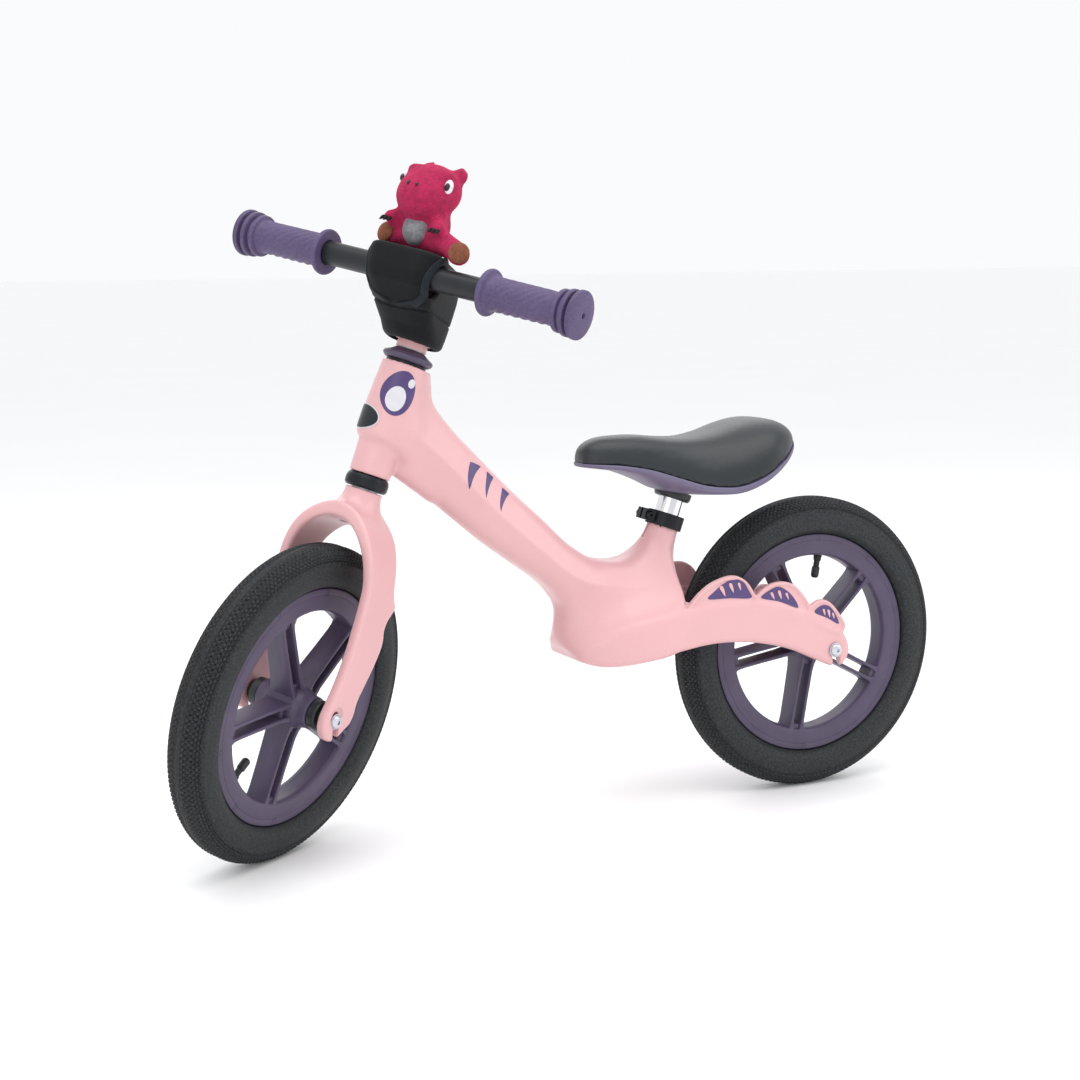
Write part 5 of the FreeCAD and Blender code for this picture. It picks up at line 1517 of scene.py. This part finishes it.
def claw(root, tip, radius):
    root, tip = np.array(root, float), np.array(tip, float)
    shares = np.array((0, 0.15, 0.4, 0.7, 0.9, 1.0))
    path = root + np.outer(shares, tip - root)
    return tube(path, radius * np.array((0.7, 1.0, 0.95, 0.6, 0.3, 0.05)), steps=10)


def make_toy():
    shape = field_mesh(toy_field, (-8, -48, 410), (80, 64, 509), 2.4, mirrored=False)
    toy = piece("toy_body", shape, "toy_plush", "steering", STEERED, stands_for=["toy_animal"],
                smooth=ALL_SMOOTH)
    swell(toy, 3.4, 0.9, pressure=3.0)
    extras = {"toy_eyes": "toy_white", "toy_dark": "toy_dark", "toy_belly": "toy_grey",
              "toy_soles": "toy_brown", "toy_claws": "toy_black"}
    shells = {name: Shell() for name in extras}
    for side in (1, -1):
        shells["toy_eyes"].add(blob((51.5, TOY_Y + side * 22.8, 482), (6.4, 4.2, 7.2), (0, 0, 22 * side)))
        shells["toy_dark"].add(blob((55.4, TOY_Y + side * 24.2, 481.4), (3.4, 2.6, 4.0), (0, 0, 30 * side)))
        shells["toy_dark"].add(blob((72.6, TOY_Y - 1 + side * 4.6, 474.6), (1.6, 1.4, 2.1),
                                    (0, -16, 14 * side)))
    for (_, foot, _, size), way in zip(TOY_LEGS, (32, -16)):
        ahead = math.cos(math.radians(way)), math.sin(math.radians(way))
        centre = (foot[0] + ahead[0] * 8.2, foot[1] + ahead[1] * 8.2, foot[2])
        shells["toy_soles"].add(blob(centre, (4.2, 0.92 * size, 0.92 * size), (0, 0, way)))
    for _, paw, _, size in TOY_ARMS:
        for side in (-3.6, 0, 3.6):
            shells["toy_claws"].add(claw((paw[0] + 4, paw[1] + side, paw[2] - 1.5),
                                         (paw[0] + 9.5, paw[1] + 1.15 * side, paw[2] - 6.5), 1.7))
    shells["toy_belly"].add(blob((45.5, TOY_Y + 1, 442), (11, 14.5, 17), (0, -6, 0)))
    for name, finish in extras.items():
        piece(name, shells[name].shape(), finish, "steering", STEERED, smooth=ALL_SMOOTH)


# ---------------------------------------------------------------- stage

def plain_material(name, colour, roughness):
    """A pale stage surface with a very faint mottle."""
    paint = Paint(name, roughness=roughness)
    paint.colour(paint.ramp(paint.noise(2, detail=2), [(0.3, tint(colour, 0.985)), (0.7, colour)]))
    return paint.material


def make_stage():
    """A wide flat floor; the white surround shows above its far edge."""
    reach = 60.0
    mesh = bpy.data.meshes.new("floor")
    mesh.from_pydata([(-reach, -reach, 0), (reach, -reach, 0), (reach, reach, 0), (-reach, reach, 0)],
                     [], [(0, 1, 2, 3)])
    mesh.materials.append(plain_material("floor_paper", (0.97, 0.97, 0.97, 1), 0.6))
    floor = bpy.data.objects.new("floor", mesh)
    bpy.context.scene.collection.objects.link(floor)


def area_light(name, where, aim, size, power):
    lamp = bpy.data.lights.new(name, "AREA")
    lamp.shape = "RECTANGLE"
    lamp.size, lamp.size_y = size
    lamp.energy = power
    thing = bpy.data.objects.new(name, lamp)
    bpy.context.scene.collection.objects.link(thing)
    thing.location = where
    thing.rotation_euler = (Vector(aim) - Vector(where)).to_track_quat("-Z", "Y").to_euler()


def make_lights():
    middle = (0, 0, 0.3)
    area_light("top_softbox", (0.1, 0.5, 2.3), middle, (2.2, 1.8), 26)
    area_light("front_fill", (1.9, 2.1, 1.1), middle, (1.6, 1.6), 7)
    area_light("rear_fill", (-2.0, 1.4, 1.2), middle, (1.4, 1.6), 9)
    area_light("far_rim", (-0.4, -2.0, 1.5), middle, (2.4, 1.2), 9)
    world = bpy.data.worlds.new("studio")
    world.use_nodes = True
    world.node_tree.nodes["Background"].inputs["Color"].default_value = (0.98, 0.985, 1.0, 1)
    world.node_tree.nodes["Background"].inputs["Strength"].default_value = 0.98
    bpy.context.scene.world = world
    bpy.context.scene.view_settings.view_transform = "Standard"


CAMERA_AZIMUTH, CAMERA_ELEVATION, CAMERA_ROLL = 154.0832, 8.4674, -0.6064
CAMERA_DISTANCE = 1.823
CAMERA_AIM = (0.0233, 0, 0.2809)
CAMERA_LENS = 62.87


def make_camera():
    around, above = math.radians(CAMERA_AZIMUTH), math.radians(CAMERA_ELEVATION)
    flat = math.cos(above)
    back = Vector((math.sin(around) * flat, -math.cos(around) * flat, math.sin(above)))
    right = Vector((0, 0, 1)).cross(back).normalized()
    level = Matrix((right, back.cross(right), back)).transposed()
    place = (level @ Matrix.Rotation(math.radians(CAMERA_ROLL), 3, "Z")).to_4x4()
    place.translation = Vector(CAMERA_AIM) + back * CAMERA_DISTANCE
    lens = bpy.data.cameras.new("camera")
    lens.lens = CAMERA_LENS
    lens.sensor_width = 36
    thing = bpy.data.objects.new("camera", lens)
    bpy.context.scene.collection.objects.link(thing)
    thing.matrix_world = place
    bpy.context.scene.camera = thing


# ---------------------------------------------------------------- whole bike

finish_cad_nodes()
make_wheel("rear", REAR_HUB, 64, "rear_wheel", STAY_INNER, STAY_OUTER, "frame")
make_wheel("front", FRONT_HUB, -72, "front_wheel", LEG_INNER, LEG_OUTER, "steering")
make_handlebar()
make_frame()
make_fork()
make_decals()
make_badge()
make_saddle()
make_pad()
make_toy()
make_headset()
make_stage()
make_lights()
make_camera()
